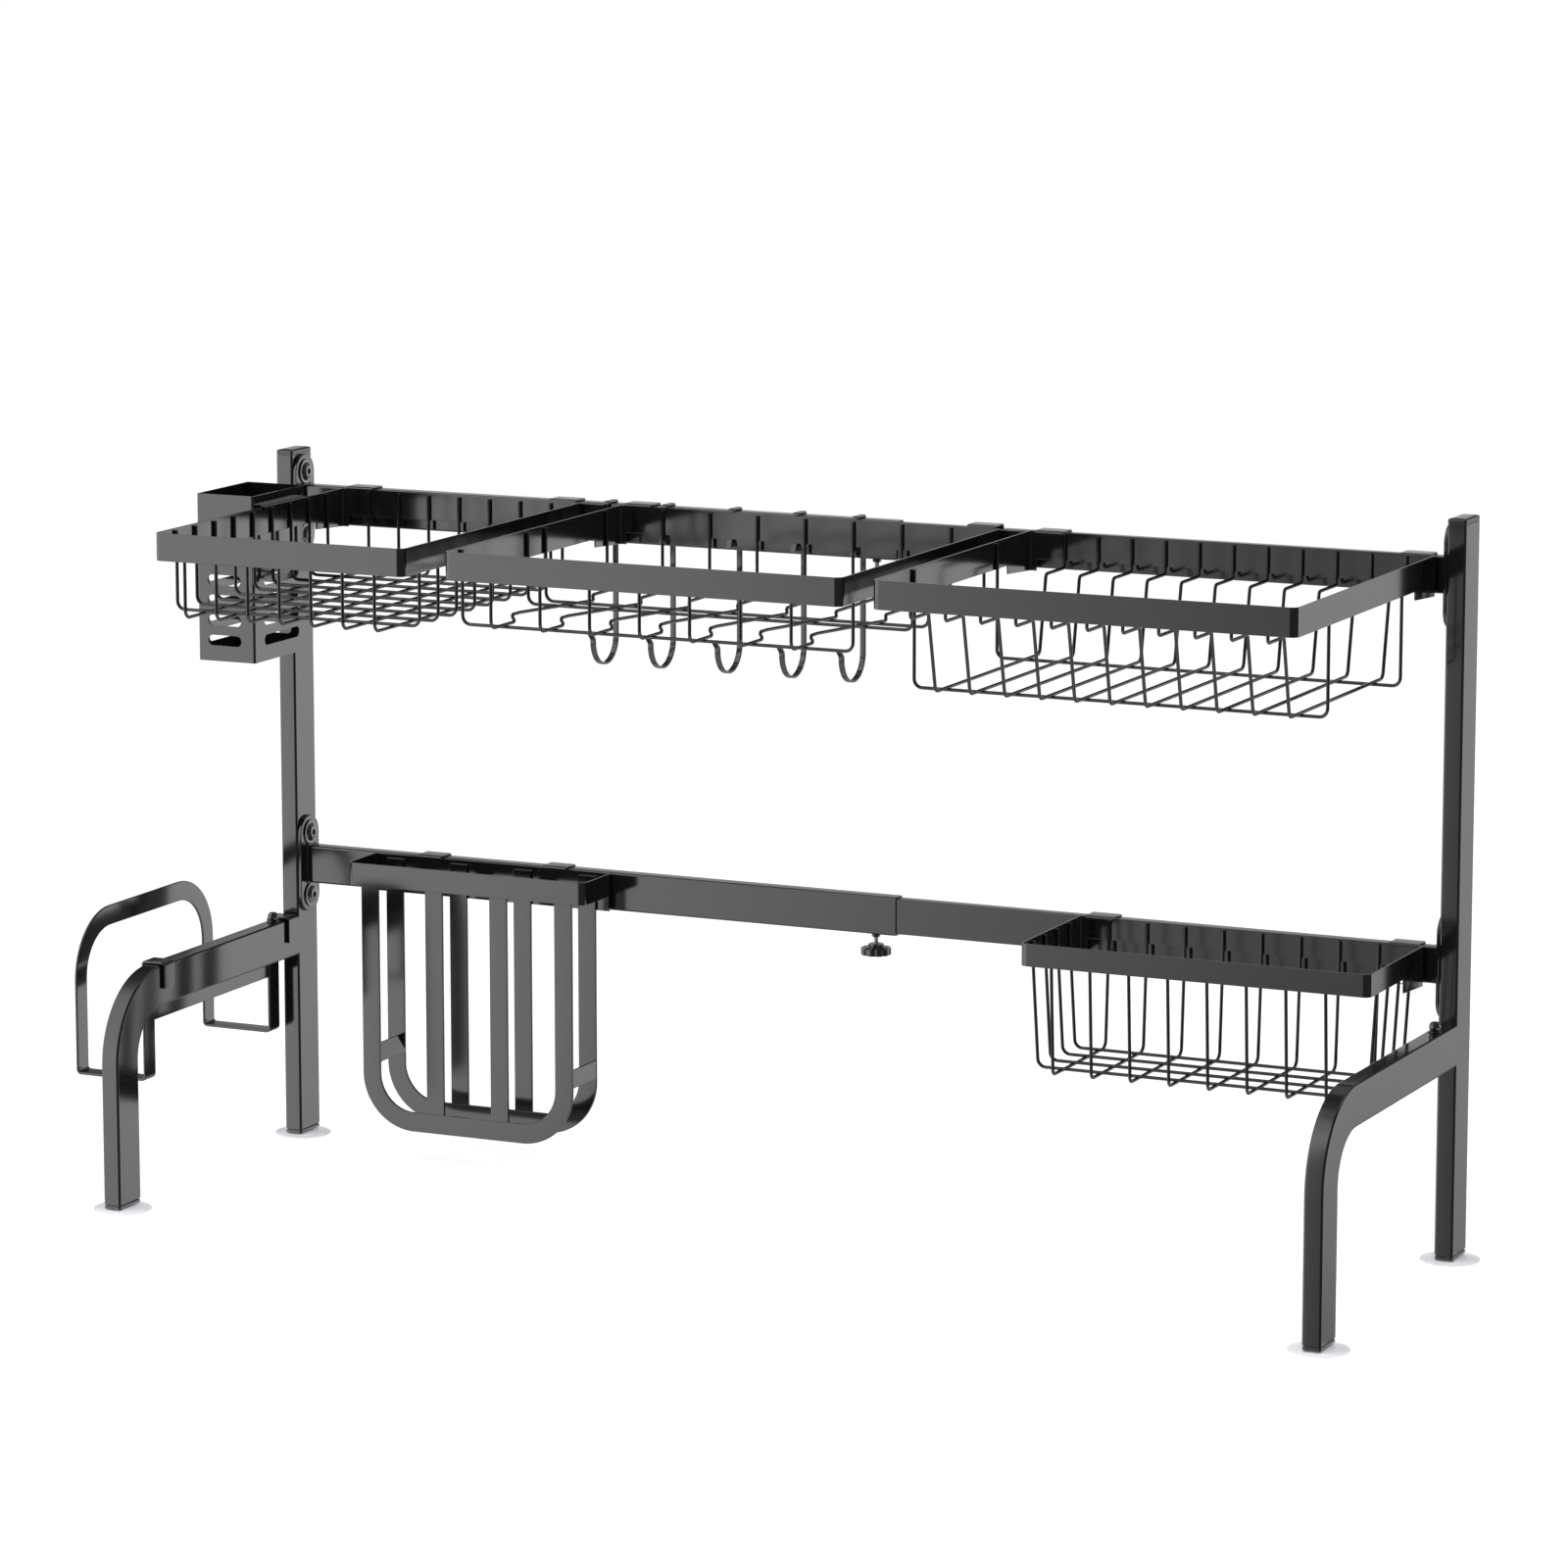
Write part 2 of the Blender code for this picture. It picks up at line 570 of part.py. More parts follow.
def build_flanges(side):
    """Two stadium plates on the upright's inner face, each held by two bolts."""
    hole = circle(BOLT_RADIUS + BOLT_PLAY, 10)
    for tier, height in (("upper", UPPER_BEAM_AXIS), ("lower", LOWER_BEAM_AXIS)):
        outline = [point + Vector((BEAM_CENTRE, height))
                   for point in oblong(FLANGE_WIDTH, FLANGE_HEIGHT, FLANGE_WIDTH / 2 - SEAT_GAP, 6)]
        holes = []
        for offset in (FLANGE_BOLT_OFFSET, -FLANGE_BOLT_OFFSET):
            holes.append([point + Vector((BEAM_CENTRE, height + offset)) for point in hole])
        near = side_x(side, TUBE_WIDTH + SEAT_GAP)
        inward = 1 if side == "left" else -1
        solid = plate(outline, holes, "YZ", near, inward * FLANGE_THICKNESS)[0]
        piece(side + "_" + tier + "_flange", solid, BLACK_PAINT)
        seat_x = side_x(side, FLANGE_FACE + SEAT_GAP)
        shank = 2 * SEAT_GAP + FLANGE_THICKNESS + TUBE_WALL + BOLT_END
        for place, offset in (("top", FLANGE_BOLT_OFFSET), ("bottom", -FLANGE_BOLT_OFFSET)):
            seat = Vector((seat_x, BEAM_CENTRE, height + offset))
            solid = bolt(seat, "X", inward, shank, WASHER_RADIUS, WASHER_THICKNESS,
                         BOLT_HEAD_RADIUS, BOLT_CROWN_RADIUS, BOLT_HEAD_HEIGHT)
            piece(side + "_" + tier + "_flange_bolt_" + place, solid, ZINC_STEEL)


def build_beam(tier, height):
    """An outer tube from the left, and the inner tube that slides in it from the right."""
    start = FLANGE_FACE + SEAT_GAP
    path = [Vector((start, BEAM_CENTRE, height)), Vector((start + OUTER_BEAM_LENGTH, BEAM_CENTRE, height))]
    outer = tube_along(path, Z_AXIS, BEAM_HEIGHT, BEAM_DEPTH, BEAM_CORNER, BEAM_WALL)
    stud_hole = rod(Vector((SCREW_PLACE, BEAM_CENTRE, height - BEAM_HEIGHT / 2 - CUT_OVERRUN)), "Z",
                    STUD_RADIUS + SEAT_GAP, CUT_OVERRUN + BEAM_WALL * 2, 10)
    piece(tier + "_outer_beam", combined([outer, stud_hole], "DIFFERENCE"), BLACK_PAINT)
    end = RACK_WIDTH - start
    path = [Vector((end - INNER_BEAM_LENGTH, BEAM_CENTRE, height)), Vector((end, BEAM_CENTRE, height))]
    inner = tube_along(path, Z_AXIS, BEAM_HEIGHT - 2 * INNER_BEAM_DROP, BEAM_DEPTH - 2 * INNER_BEAM_DROP,
                       BEAM_CORNER - INNER_BEAM_DROP / 2, BEAM_WALL)
    piece(tier + "_inner_beam", inner, BLACK_PAINT)


def build_clamp(tier, height):
    """Weld nut, stud and lobed knob that press on the inner beam from below."""
    beam_bottom = height - BEAM_HEIGHT / 2
    nut_top = beam_bottom - SEAT_GAP
    centre = Vector((SCREW_PLACE, BEAM_CENTRE, 0))
    hexagon = circle(NUT_RADIUS, 6)
    hole = circle(STUD_RADIUS + SEAT_GAP, 10)
    place = Vector((SCREW_PLACE, BEAM_CENTRE))
    nut = plate([point + place for point in hexagon], [[point + place for point in hole]],
                "XY", nut_top - NUT_HEIGHT, NUT_HEIGHT)[0]
    piece(tier + "_clamp_nut", nut, BLACK_PAINT)
    knob_top = nut_top - NUT_HEIGHT - KNOB_TO_NUT
    bore_end = knob_top - STUD_IN_KNOB
    stud_top = beam_bottom + INNER_BEAM_DROP - SEAT_GAP
    stud = stack([(bore_end + SEAT_GAP, circle(STUD_RADIUS, 10)), (stud_top, circle(STUD_RADIUS, 10))], centre)
    stud_origin = Vector((SCREW_PLACE, BEAM_CENTRE, stud_top))
    piece(tier + "_clamp_stud", stud, ZINC_STEEL, stud_origin)
    sides = 4 * KNOB_LOBES
    body_top = knob_top - KNOB_BOSS_HEIGHT
    body_bottom = body_top - KNOB_HEIGHT
    narrow = circle(KNOB_RADIUS - KNOB_EDGE, sides, KNOB_LOBE, KNOB_LOBES)
    wide = circle(KNOB_RADIUS, sides, KNOB_LOBE, KNOB_LOBES)
    levels = [
        (body_bottom, narrow),
        (body_bottom + KNOB_EDGE, wide),
        (body_top - KNOB_EDGE, wide),
        (body_top, narrow),
        (body_top, circle(KNOB_BOSS_RADIUS, sides)),
        (knob_top, circle(KNOB_BOSS_RADIUS, sides)),
        (knob_top, circle(STUD_RADIUS + SEAT_GAP, sides)),
        (bore_end, circle(STUD_RADIUS + SEAT_GAP, sides)),
    ]
    piece(tier + "_clamp_knob", stack(levels, centre), BLACK_PLASTIC, Vector((SCREW_PLACE, BEAM_CENTRE, body_top)))


def band(left, right, front, top, height, wing, tabs, root_drop):
    """A sheet-metal basket rim: a low band in front and at the sides, a tall one behind with wings
    that run forward. `tabs` are (left end, right end) pairs, whose roots may lie in low notches."""
    back = BASKET_BACK
    low = top - height
    rear_low = top - REAR_BAND_HEIGHT
    wing_low = rear_low + WING_RISE
    wing_front = back - wing
    fillet_end = wing_front - WING_STEP - WING_FILLET
    path = []
    spans = []

    def add(points, bottom, drop=0):
        for point in points:
            path.append(Vector((point[0], point[1], 0)))
            spans.append((bottom, top - drop))

    def corner(place, before, after, radius, steps, bottom):
        add(rounded([before, place, after], radius, steps)[1:-1], bottom)

    middle_x = (left + right) / 2
    middle_y = (front + back) / 2
    corner((left, front), (left, middle_y), (middle_x, front), BAND_FRONT_CORNER, 3, low)
    corner((right, front), (middle_x, front), (right, middle_y), BAND_FRONT_CORNER, 3, low)
    add([(right, fillet_end)], low)
    add([(right, fillet_end + WING_FILLET * 2 / 3)], low - WING_FILLET / 3)
    add([(right, wing_front - WING_STEP)], low - WING_FILLET)
    add([(right, wing_front)], wing_low)
    corner((right, back), (right, middle_y), (middle_x, back), BAND_REAR_CORNER, 2, rear_low)
    tab_rows = []
    for tab_left, tab_right in sorted(tabs, reverse=True):
        if root_drop:
            add([(tab_right + TAB_NOTCH, back)], rear_low)
        tab_rows.append(len(path))
        add([(tab_right, back), (tab_left, back)], rear_low, root_drop)
        if root_drop:
            add([(tab_left - TAB_NOTCH, back)], rear_low)
    corner((left, back), (middle_x, back), (left, middle_y), BAND_REAR_CORNER, 2, rear_low)
    add([(left, wing_front)], wing_low)
    add([(left, wing_front - WING_STEP)], low - WING_FILLET)
    add([(left, fillet_end + WING_FILLET * 2 / 3)], low - WING_FILLET / 3)
    add([(left, fillet_end)], low)

    loops = []
    for (outer, inner), (bottom, crest) in zip(stations(path, [(0, 0), (0, SHEET)], Z_AXIS, closed=True), spans):
        down = Z_AXIS * bottom
        up = Z_AXIS * crest
        loops.append([outer + down, outer + up, inner + up, inner + down])
    solid, faces = loft(loops, ring=True)
    tab_roots = [faces[row, 1] for row in tab_rows]
    return solid, tab_roots


def bend_tabs(solid, roots, beam_top, beam_depth):
    """Fold tabs from the rim's top edge over a beam and down behind it."""
    level = beam_top + SEAT_GAP - TAB_BEND
    for root in roots:
        front_axis = Vector((0, BASKET_BACK + TAB_BEND, level))
        face = bend(solid, root, front_axis, X_AXIS, -90, 2)
        reach = beam_depth + 2 * SEAT_GAP - 2 * TAB_BEND
        face = run(solid, face, Y_AXIS * reach)
        back_axis = Vector((0, BASKET_BACK + TAB_BEND + reach, level))
        face = bend(solid, face, back_axis, X_AXIS, -90, 2)
        run(solid, face, -Z_AXIS * TAB_DROP)


def rim_top(beam_axis):
    """The rims hang level on both tubes: their top edge follows from the outer tube's top."""
    return beam_axis + BEAM_HEIGHT / 2 + SEAT_GAP - TAB_BEND


def basket_rim(left, width, front, beam_axis, height, wing, tabs, root_drop=0):
    """A rim with its tabs; on the thinner inner tube the tabs' roots lie `root_drop` lower."""
    solid, roots = band(left, left + width, -front, rim_top(beam_axis), height, wing, tabs, root_drop)
    bend_tabs(solid, roots, beam_axis + BEAM_HEIGHT / 2 - root_drop, BEAM_DEPTH)
    return solid


def end_tabs(left, width):
    """A tab a little in from each end."""
    right = left + width
    return [(left + TAB_INSET, left + TAB_INSET + TAB_WIDTH), (right - TAB_INSET - TAB_WIDTH, right - TAB_INSET)]


def evenly(start, pitch, count):
    """Places at a given pitch."""
    return [start + index * pitch for index in range(count)]


def between(start, stop, count):
    """Evenly spaced places from start to stop."""
    return [start + (stop - start) * index / (count - 1) for index in range(count)]


def wire(points, plane, level):
    """One round wire, six-sided, along flat points."""
    side = X_AXIS if plane == "YZ" else Y_AXIS
    return loft(stations(in_plane(points, plane, level), circle(WIRE_RADIUS, 6), side))[0]


def cross_wires(left, width, top, places, heights, bends, lean=0):
    """Wires that run from side to side, turned up inside the rim at both ends."""
    start = left + WIRE_INSET
    stop = left + width - WIRE_INSET
    wires = []
    for place, height in zip(places, heights):
        corners = [(start, top), (start + lean, height), (stop - lean, height), (stop, top)]
        wires.append(wire(rounded(corners, bends, 1), "XZ", place))
    return wires


def build_left_basket():
    tabs = end_tabs(LEFT_BASKET_PLACE, LEFT_BASKET_WIDTH)
    rim = basket_rim(LEFT_BASKET_PLACE, LEFT_BASKET_WIDTH, UPPER_BASKET_FRONT, UPPER_BEAM_AXIS,
                     UPPER_BAND_HEIGHT, WING_LENGTH, tabs)
    piece("left_basket_rim", rim, BLACK_PAINT)
    wire_top = rim_top(UPPER_BEAM_AXIS) - WIRE_TOP_DROP
    front = WIRE_INSET - UPPER_BASKET_FRONT
    back = BASKET_BACK - WIRE_INSET
    corners = [(front, wire_top), (front, LEFT_BASKET_FLOOR), (back, LEFT_BASKET_FLOOR), (back, wire_top)]
    points = rounded(corners, WIRE_BEND, 1)
    start = LEFT_BASKET_PLACE + LEFT_LONG_START
    stop = LEFT_BASKET_PLACE + LEFT_BASKET_WIDTH - LEFT_LONG_END
    wires = [wire(points, "YZ", place) for place in between(start, stop, 7)]
    places = evenly(-LEFT_CROSS_START, -LEFT_CROSS_PITCH, 9)
    heights = [LEFT_BASKET_FLOOR + CROSS_OFFSET] * len(places)
    wires += cross_wires(LEFT_BASKET_PLACE, LEFT_BASKET_WIDTH, wire_top, places, heights, WIRE_BEND)
    piece("left_basket_wires", combined(wires, "UNION"), BLACK_PAINT)


def middle_profile(wire_top):
    """Corners and bends of the stepped wire that holds glasses apart: the floor steps up near the
    front, falls gently, steps up again and runs level to the back."""
    front = WIRE_INSET - UPPER_BASKET_FRONT
    back = BASKET_BACK - WIRE_INSET
    raised = MIDDLE_FLOOR + MIDDLE_STEP_RISE
    fallen = raised - MIDDLE_SLOPE_FALL
    rear = fallen + MIDDLE_REAR_RISE
    corners = [
        (front, wire_top),
        (front, MIDDLE_FLOOR),
        (-MIDDLE_FRONT_STEP, MIDDLE_FLOOR),
        (-MIDDLE_FRONT_STEP - MIDDLE_FRONT_LEAN, raised),
        (-MIDDLE_SLOPE_START, raised),
        (-MIDDLE_REAR_STEP, fallen),
        (-MIDDLE_REAR_STEP - MIDDLE_REAR_LEAN, rear),
        (back, rear),
        (back, wire_top),
    ]
    step = MIDDLE_STEP_BEND
    return corners, [0, WIRE_BEND, step, step, 0, step, step, WIRE_BEND, 0]


def height_on(corners, place):
    """The height of the floor's long straight runs at a place from front to back."""
    for (start, low), (stop, high) in zip(corners, corners[1:]):
        if start < place < stop:
            return low + (high - low) * (place - start) / (stop - start)
    raise ValueError("the place lies outside the floor")


def build_middle_basket():
    tabs = end_tabs(MIDDLE_BASKET_PLACE, MIDDLE_BASKET_WIDTH)
    rim = basket_rim(MIDDLE_BASKET_PLACE, MIDDLE_BASKET_WIDTH, UPPER_BASKET_FRONT, UPPER_BEAM_AXIS,
                     UPPER_BAND_HEIGHT, WING_LENGTH, tabs)
    piece("middle_basket_rim", rim, BLACK_PAINT)
    wire_top = rim_top(UPPER_BEAM_AXIS) - WIRE_TOP_DROP
    corners, bends = middle_profile(wire_top)
    points = rounded(corners, bends, 2)
    start = MIDDLE_BASKET_PLACE + MIDDLE_LONG_START
    stop = MIDDLE_BASKET_PLACE + MIDDLE_BASKET_WIDTH - MIDDLE_LONG_END
    wires = [wire(points, "YZ", place) for place in between(start, stop, 7)]
    places = [-place for place in MIDDLE_CROSS_PLACES]
    heights = [height_on(corners[1:-1], place) - CROSS_OFFSET for place in places]
    wires += cross_wires(MIDDLE_BASKET_PLACE, MIDDLE_BASKET_WIDTH, wire_top, places, heights, WIRE_BEND)
    piece("middle_basket_wires", combined(wires, "UNION"), BLACK_PAINT)


def build_right_basket():
    tabs = end_tabs(RIGHT_BASKET_PLACE, RIGHT_BASKET_WIDTH)
    rim = basket_rim(RIGHT_BASKET_PLACE, RIGHT_BASKET_WIDTH, UPPER_BASKET_FRONT, UPPER_BEAM_AXIS,
                     UPPER_BAND_HEIGHT, WING_LENGTH, tabs, INNER_BEAM_DROP)
    piece("right_basket_rim", rim, BLACK_PAINT)
    wire_top = rim_top(UPPER_BEAM_AXIS) - WIRE_TOP_DROP
    front = WIRE_INSET - UPPER_BASKET_FRONT
    back = BASKET_BACK - WIRE_INSET
    corners = [
        (front, wire_top),
        (front, RIGHT_LEDGE),
        (-RIGHT_FRONT_LEDGE_END, RIGHT_LEDGE),
        (-RIGHT_FRONT_FLOOR_END, RIGHT_FLOOR),
        (-RIGHT_REAR_FLOOR_END, RIGHT_FLOOR),
        (-RIGHT_REAR_LEDGE_END, RIGHT_LEDGE),
        (back, RIGHT_LEDGE),
        (back, wire_top),
    ]
    ledge = RIGHT_LEDGE_BEND
    points = rounded(corners, [0, ledge, ledge, RIGHT_FLOOR_BEND, RIGHT_FLOOR_BEND, ledge, ledge, 0], 1)
    start = RIGHT_BASKET_PLACE + RIGHT_LONG_START
    stop = RIGHT_BASKET_PLACE + RIGHT_BASKET_WIDTH - RIGHT_LONG_END
    wires = [wire(points, "YZ", place) for place in between(start, stop, 11)]
    places = [-place for place in RIGHT_CROSS_PLACES]
    heights = [RIGHT_FLOOR - CROSS_OFFSET] * len(places)
    wires += cross_wires(RIGHT_BASKET_PLACE, RIGHT_BASKET_WIDTH, wire_top, places, heights, WIRE_BEND)
    piece("right_basket_wires", combined(wires, "UNION"), BLACK_PAINT)


def build_lower_basket():
    tabs = end_tabs(LOWER_BASKET_PLACE, LOWER_BASKET_WIDTH)
    rim = basket_rim(LOWER_BASKET_PLACE, LOWER_BASKET_WIDTH, LOWER_BASKET_FRONT, LOWER_BEAM_AXIS,
                     LOWER_BAND_HEIGHT, WING_LENGTH, tabs, INNER_BEAM_DROP)
    piece("lower_basket_rim", rim, BLACK_PAINT)
    wire_top = rim_top(LOWER_BEAM_AXIS) - WIRE_TOP_DROP
    rim_low = rim_top(LOWER_BEAM_AXIS) - LOWER_BAND_HEIGHT
    front = WIRE_INSET - LOWER_BASKET_FRONT
    back = BASKET_BACK - WIRE_INSET
    floor = LOWER_BASKET_FLOOR
    corners = [(front, wire_top), (front, rim_low), (front + LOWER_LEAN, floor), (back - LOWER_LEAN, floor),
               (back, rim_low), (back, wire_top)]
    points = rounded(corners, [0, 0, LOWER_WIRE_BEND, WIRE_BEND, 0, 0], 1)
    start = LOWER_BASKET_PLACE + LOWER_LONG_START
    stop = LOWER_BASKET_PLACE + LOWER_BASKET_WIDTH - LOWER_LONG_END
    wires = [wire(points, "YZ", place) for place in between(start, stop, 8)]
    start = LOWER_BASKET_PLACE + WIRE_INSET
    stop = LOWER_BASKET_PLACE + LOWER_BASKET_WIDTH - WIRE_INSET
    height = floor + CROSS_OFFSET
    corners = [(start, wire_top), (start, rim_low), (start + LOWER_LEAN, height), (stop - LOWER_LEAN, height),
               (stop, rim_low), (stop, wire_top)]
    points = rounded(corners, [0, 0, WIRE_BEND, WIRE_BEND, 0, 0], 1)
    wires += [wire(points, "XZ", place) for place in evenly(-LOWER_CROSS_START, -LOWER_CROSS_PITCH, 4)]
    piece("lower_basket_wires", combined(wires, "UNION"), BLACK_PAINT)


def comb_outline(centre, bottom, top):
    """Flat outline of upright slats that stand in one rounded cradle."""
    places = evenly(centre - SLAT_PITCH * (SLAT_COUNT - 1) / 2, SLAT_PITCH, SLAT_COUNT)
    half = SLAT_WIDTH / 2
    left = places[0] - half
    right = places[-1] + half
    bar_top = bottom + SLAT_WIDTH
    corners = [(left, top), (left, bottom), (right, bottom), (right, top)]
    bends = [0, GRID_CORNER, GRID_CORNER, 0]
    for index in range(SLAT_COUNT - 1, 0, -1):
        right_edge = places[index] - half
        left_edge = places[index - 1] + half
        corners += [(right_edge, top), (right_edge, bar_top), (left_edge, bar_top), (left_edge, top)]
        bends += [0, GRID_FILLET if index == SLAT_COUNT - 1 else 0, GRID_FILLET if index == 1 else 0, 0]
    return rounded(corners, bends, 6, closed=True)


def build_board_holder():
    """A shallow rim on the lower beam, and two slatted cradles joined by straps."""
    left = HOLDER_PLACE
    right = HOLDER_PLACE + HOLDER_WIDTH
    tabs = [(left + HOLDER_TAB_INSET, left + HOLDER_TAB_INSET + HOLDER_TAB_WIDTH),
            (right - HOLDER_TAB_INSET - HOLDER_TAB_WIDTH, right - HOLDER_TAB_INSET)]
    rim = basket_rim(left, HOLDER_WIDTH, HOLDER_FRONT, LOWER_BEAM_AXIS, HOLDER_BAND_HEIGHT,
                     BAND_REAR_CORNER * 2, tabs)
    piece("board_holder_rim", rim, BLACK_PAINT)
    top = rim_top(LOWER_BEAM_AXIS) - GRID_TOP_DROP
    centre = (left + right) / 2
    front = SHEET + SEAT_GAP - HOLDER_FRONT
    back = BASKET_BACK - SHEET - SEAT_GAP - SLAT_THICKNESS
    outline = comb_outline(centre, GRID_BOTTOM, top)
    solids = [plate(outline, [], "XZ", place, SLAT_THICKNESS)[0] for place in (front, back)]
    reach = (SLAT_PITCH * (SLAT_COUNT - 1) - SLAT_WIDTH) / 2
    for place, level in ((centre - reach, LEFT_STRAP_LEVEL), (centre + reach + SLAT_WIDTH, RIGHT_STRAP_LEVEL)):
        near = place - SLAT_THICKNESS - SEAT_GAP
        corners = [(near, level), (near + SLAT_THICKNESS, level), (near + SLAT_THICKNESS, level + STRAP_HEIGHT),
                   (near, level + STRAP_HEIGHT)]
        start = front + SLAT_THICKNESS / 2
        solids.append(plate([Vector(corner) for corner in corners], [], "XZ", start, back - front)[0])
    piece("board_holder_cradles", combined(solids, "UNION"), BLACK_PAINT)


def build_utensil_box():
    """An open sheet box with rows of slots, hung by a lip over the left basket's rim."""
    seat = rim_top(UPPER_BEAM_AXIS)
    top = seat + BOX_RISE
    bottom = top - BOX_HEIGHT
    centre = Vector((BOX_PLACE + BOX_WIDTH / 2, -BOX_REAR - BOX_DEPTH / 2, 0))
    outer = oblong(BOX_WIDTH, BOX_DEPTH, BOX_CORNER)
    inner = oblong(BOX_WIDTH - 2 * BOX_WALL, BOX_DEPTH - 2 * BOX_WALL, BOX_CORNER - BOX_WALL / 2)
    shell = stack([(bottom, outer), (top, outer), (top, inner), (bottom + BOX_WALL, inner)], centre)
    solids = [shell]
    corner = BOX_SLOT_HEIGHT / 2 - SEAT_GAP
    for level in evenly(bottom + BOX_SLOT_START, BOX_SLOT_PITCH, BOX_SLOT_ROWS):
        place = Vector((centre.x - BOX_FRONT_SLOT_SHIFT, level))
        outline = [point + place for point in oblong(BOX_FRONT_SLOT, BOX_SLOT_HEIGHT, corner, 2)]
        start = centre.y - BOX_DEPTH / 2 - CUT_OVERRUN
        solids.append(plate(outline, [], "XZ", start, BOX_DEPTH + 2 * CUT_OVERRUN)[0])
        place = Vector((centre.y + BOX_SIDE_SLOT_SHIFT, level))
        outline = [point + place for point in oblong(BOX_SIDE_SLOT, BOX_SLOT_HEIGHT, corner, 2)]
        start = centre.x - BOX_WIDTH / 2 - CUT_OVERRUN
        solids.append(plate(outline, [], "YZ", start, BOX_WIDTH + 2 * CUT_OVERRUN)[0])
    slotted = combined(solids, "DIFFERENCE")
    lip_level = seat + SEAT_GAP + BOX_WALL / 2
    lip_end = seat - WIRE_TOP_DROP + LIP_TO_WIRE
    lip_x = LEFT_BASKET_PLACE + SHEET + SEAT_GAP + BOX_WALL / 2
    corners = [(BOX_PLACE + BOX_WIDTH - BOX_WALL / 2, lip_level), (lip_x, lip_level), (lip_x, lip_end)]
    path = in_plane(rounded(corners, BOX_LIP_BEND, 2), "XZ", centre.y)
    section = [(-BOX_LIP_LENGTH / 2, -BOX_WALL / 2), (BOX_LIP_LENGTH / 2, -BOX_WALL / 2),
               (BOX_LIP_LENGTH / 2, BOX_WALL / 2), (-BOX_LIP_LENGTH / 2, BOX_WALL / 2)]
    lip = loft(stations(path, section, Y_AXIS))[0]
    piece("utensil_box", combined([slotted, lip], "UNION"), BLACK_PAINT)


def build_side_rack():
    """One flat bar bent into an arch, two bottom bars and an inner frame that hooks over the arm."""
    inner_x = -RACK_SIDE_GAP - BAR_THICKNESS
    rear = -RACK_REAR
    front = rear - RACK_LENGTH
    bend_out = RACK_BAR_BEND + BAR_THICKNESS
    leg_bottom = RACK_BOTTOM + bend_out
    leg_top = ARM_TOP + SEAT_GAP - RACK_BAR_BEND
    cross_top = RACK_CROSS_BOTTOM + BAR_WIDTH
    outline = [
        (front, leg_bottom), (front + BAR_WIDTH, leg_bottom), (front + BAR_WIDTH, RACK_CROSS_BOTTOM),
        (rear - BAR_WIDTH, RACK_CROSS_BOTTOM), (rear - BAR_WIDTH, leg_bottom), (rear, leg_bottom),
        (rear, leg_top), (rear - BAR_WIDTH, leg_top), (rear - BAR_WIDTH, cross_top),
        (front + BAR_WIDTH, cross_top), (front + BAR_WIDTH, leg_top), (front, leg_top),
    ]
    solid, edges = plate([Vector(corner) for corner in outline], [], "YZ", inner_x, BAR_THICKNESS)
    front_bottom, rear_bottom = edges[0, 0], edges[0, 4]
    rear_top, front_top = edges[0, 6], edges[0, 10]

    out_x = inner_x - RACK_OUT + BAR_THICKNESS + 2 * RACK_BAR_BEND
    run_out = inner_x - RACK_BAR_BEND - out_x
    inner_axis = Vector((inner_x - RACK_BAR_BEND, 0, leg_bottom))
    outer_axis = Vector((out_x, 0, leg_bottom))
    spring = RACK_TOP - BAR_WIDTH - RACK_ARCH_BEND
    face = bend(solid, front_bottom, inner_axis, Y_AXIS, 90, 3)
    face = run(solid, face, -X_AXIS * run_out)
    face = bend(solid, face, outer_axis, Y_AXIS, 90, 3)
    face = run(solid, face, Z_AXIS * (spring - leg_bottom))
    face = bend(solid, face, Vector((0, front + BAR_WIDTH + RACK_ARCH_BEND, spring)), X_AXIS, -90, 6)
    face = run(solid, face, Y_AXIS * (RACK_LENGTH - 2 * BAR_WIDTH - 2 * RACK_ARCH_BEND))
    face = bend(solid, face, Vector((0, rear - BAR_WIDTH - RACK_ARCH_BEND, spring)), X_AXIS, -90, 6)
    face = run(solid, face, -Z_AXIS * (spring - leg_bottom))
    face = bend(solid, face, outer_axis, Y_AXIS, -90, 3)
    face = run(solid, face, X_AXIS * run_out)
    face = bend(solid, face, inner_axis, Y_AXIS, -60, 2)
    rims = [edge for edge in face.edges] + [edge for edge in rear_bottom.edges]
    bmesh.ops.delete(solid, geom=[face, rear_bottom], context="FACES_ONLY")
    bmesh.ops.bridge_loops(solid, edges=rims)
    bmesh.ops.recalc_face_normals(solid, faces=solid.faces)

    arm_reach = TUBE_WIDTH + 2 * RACK_SIDE_GAP - 2 * RACK_BAR_BEND
    for top_face in (front_top, rear_top):
        near_axis = Vector((inner_x + BAR_THICKNESS + RACK_BAR_BEND, 0, leg_top))
        face = bend(solid, top_face, near_axis, Y_AXIS, 90, 3)
        face = run(solid, face, X_AXIS * arm_reach)
        far_axis = near_axis + X_AXIS * arm_reach
        face = bend(solid, face, far_axis, Y_AXIS, 90, 3)
        run(solid, face, -Z_AXIS * RACK_LIP)
    piece("side_rack", solid, BLACK_PAINT)


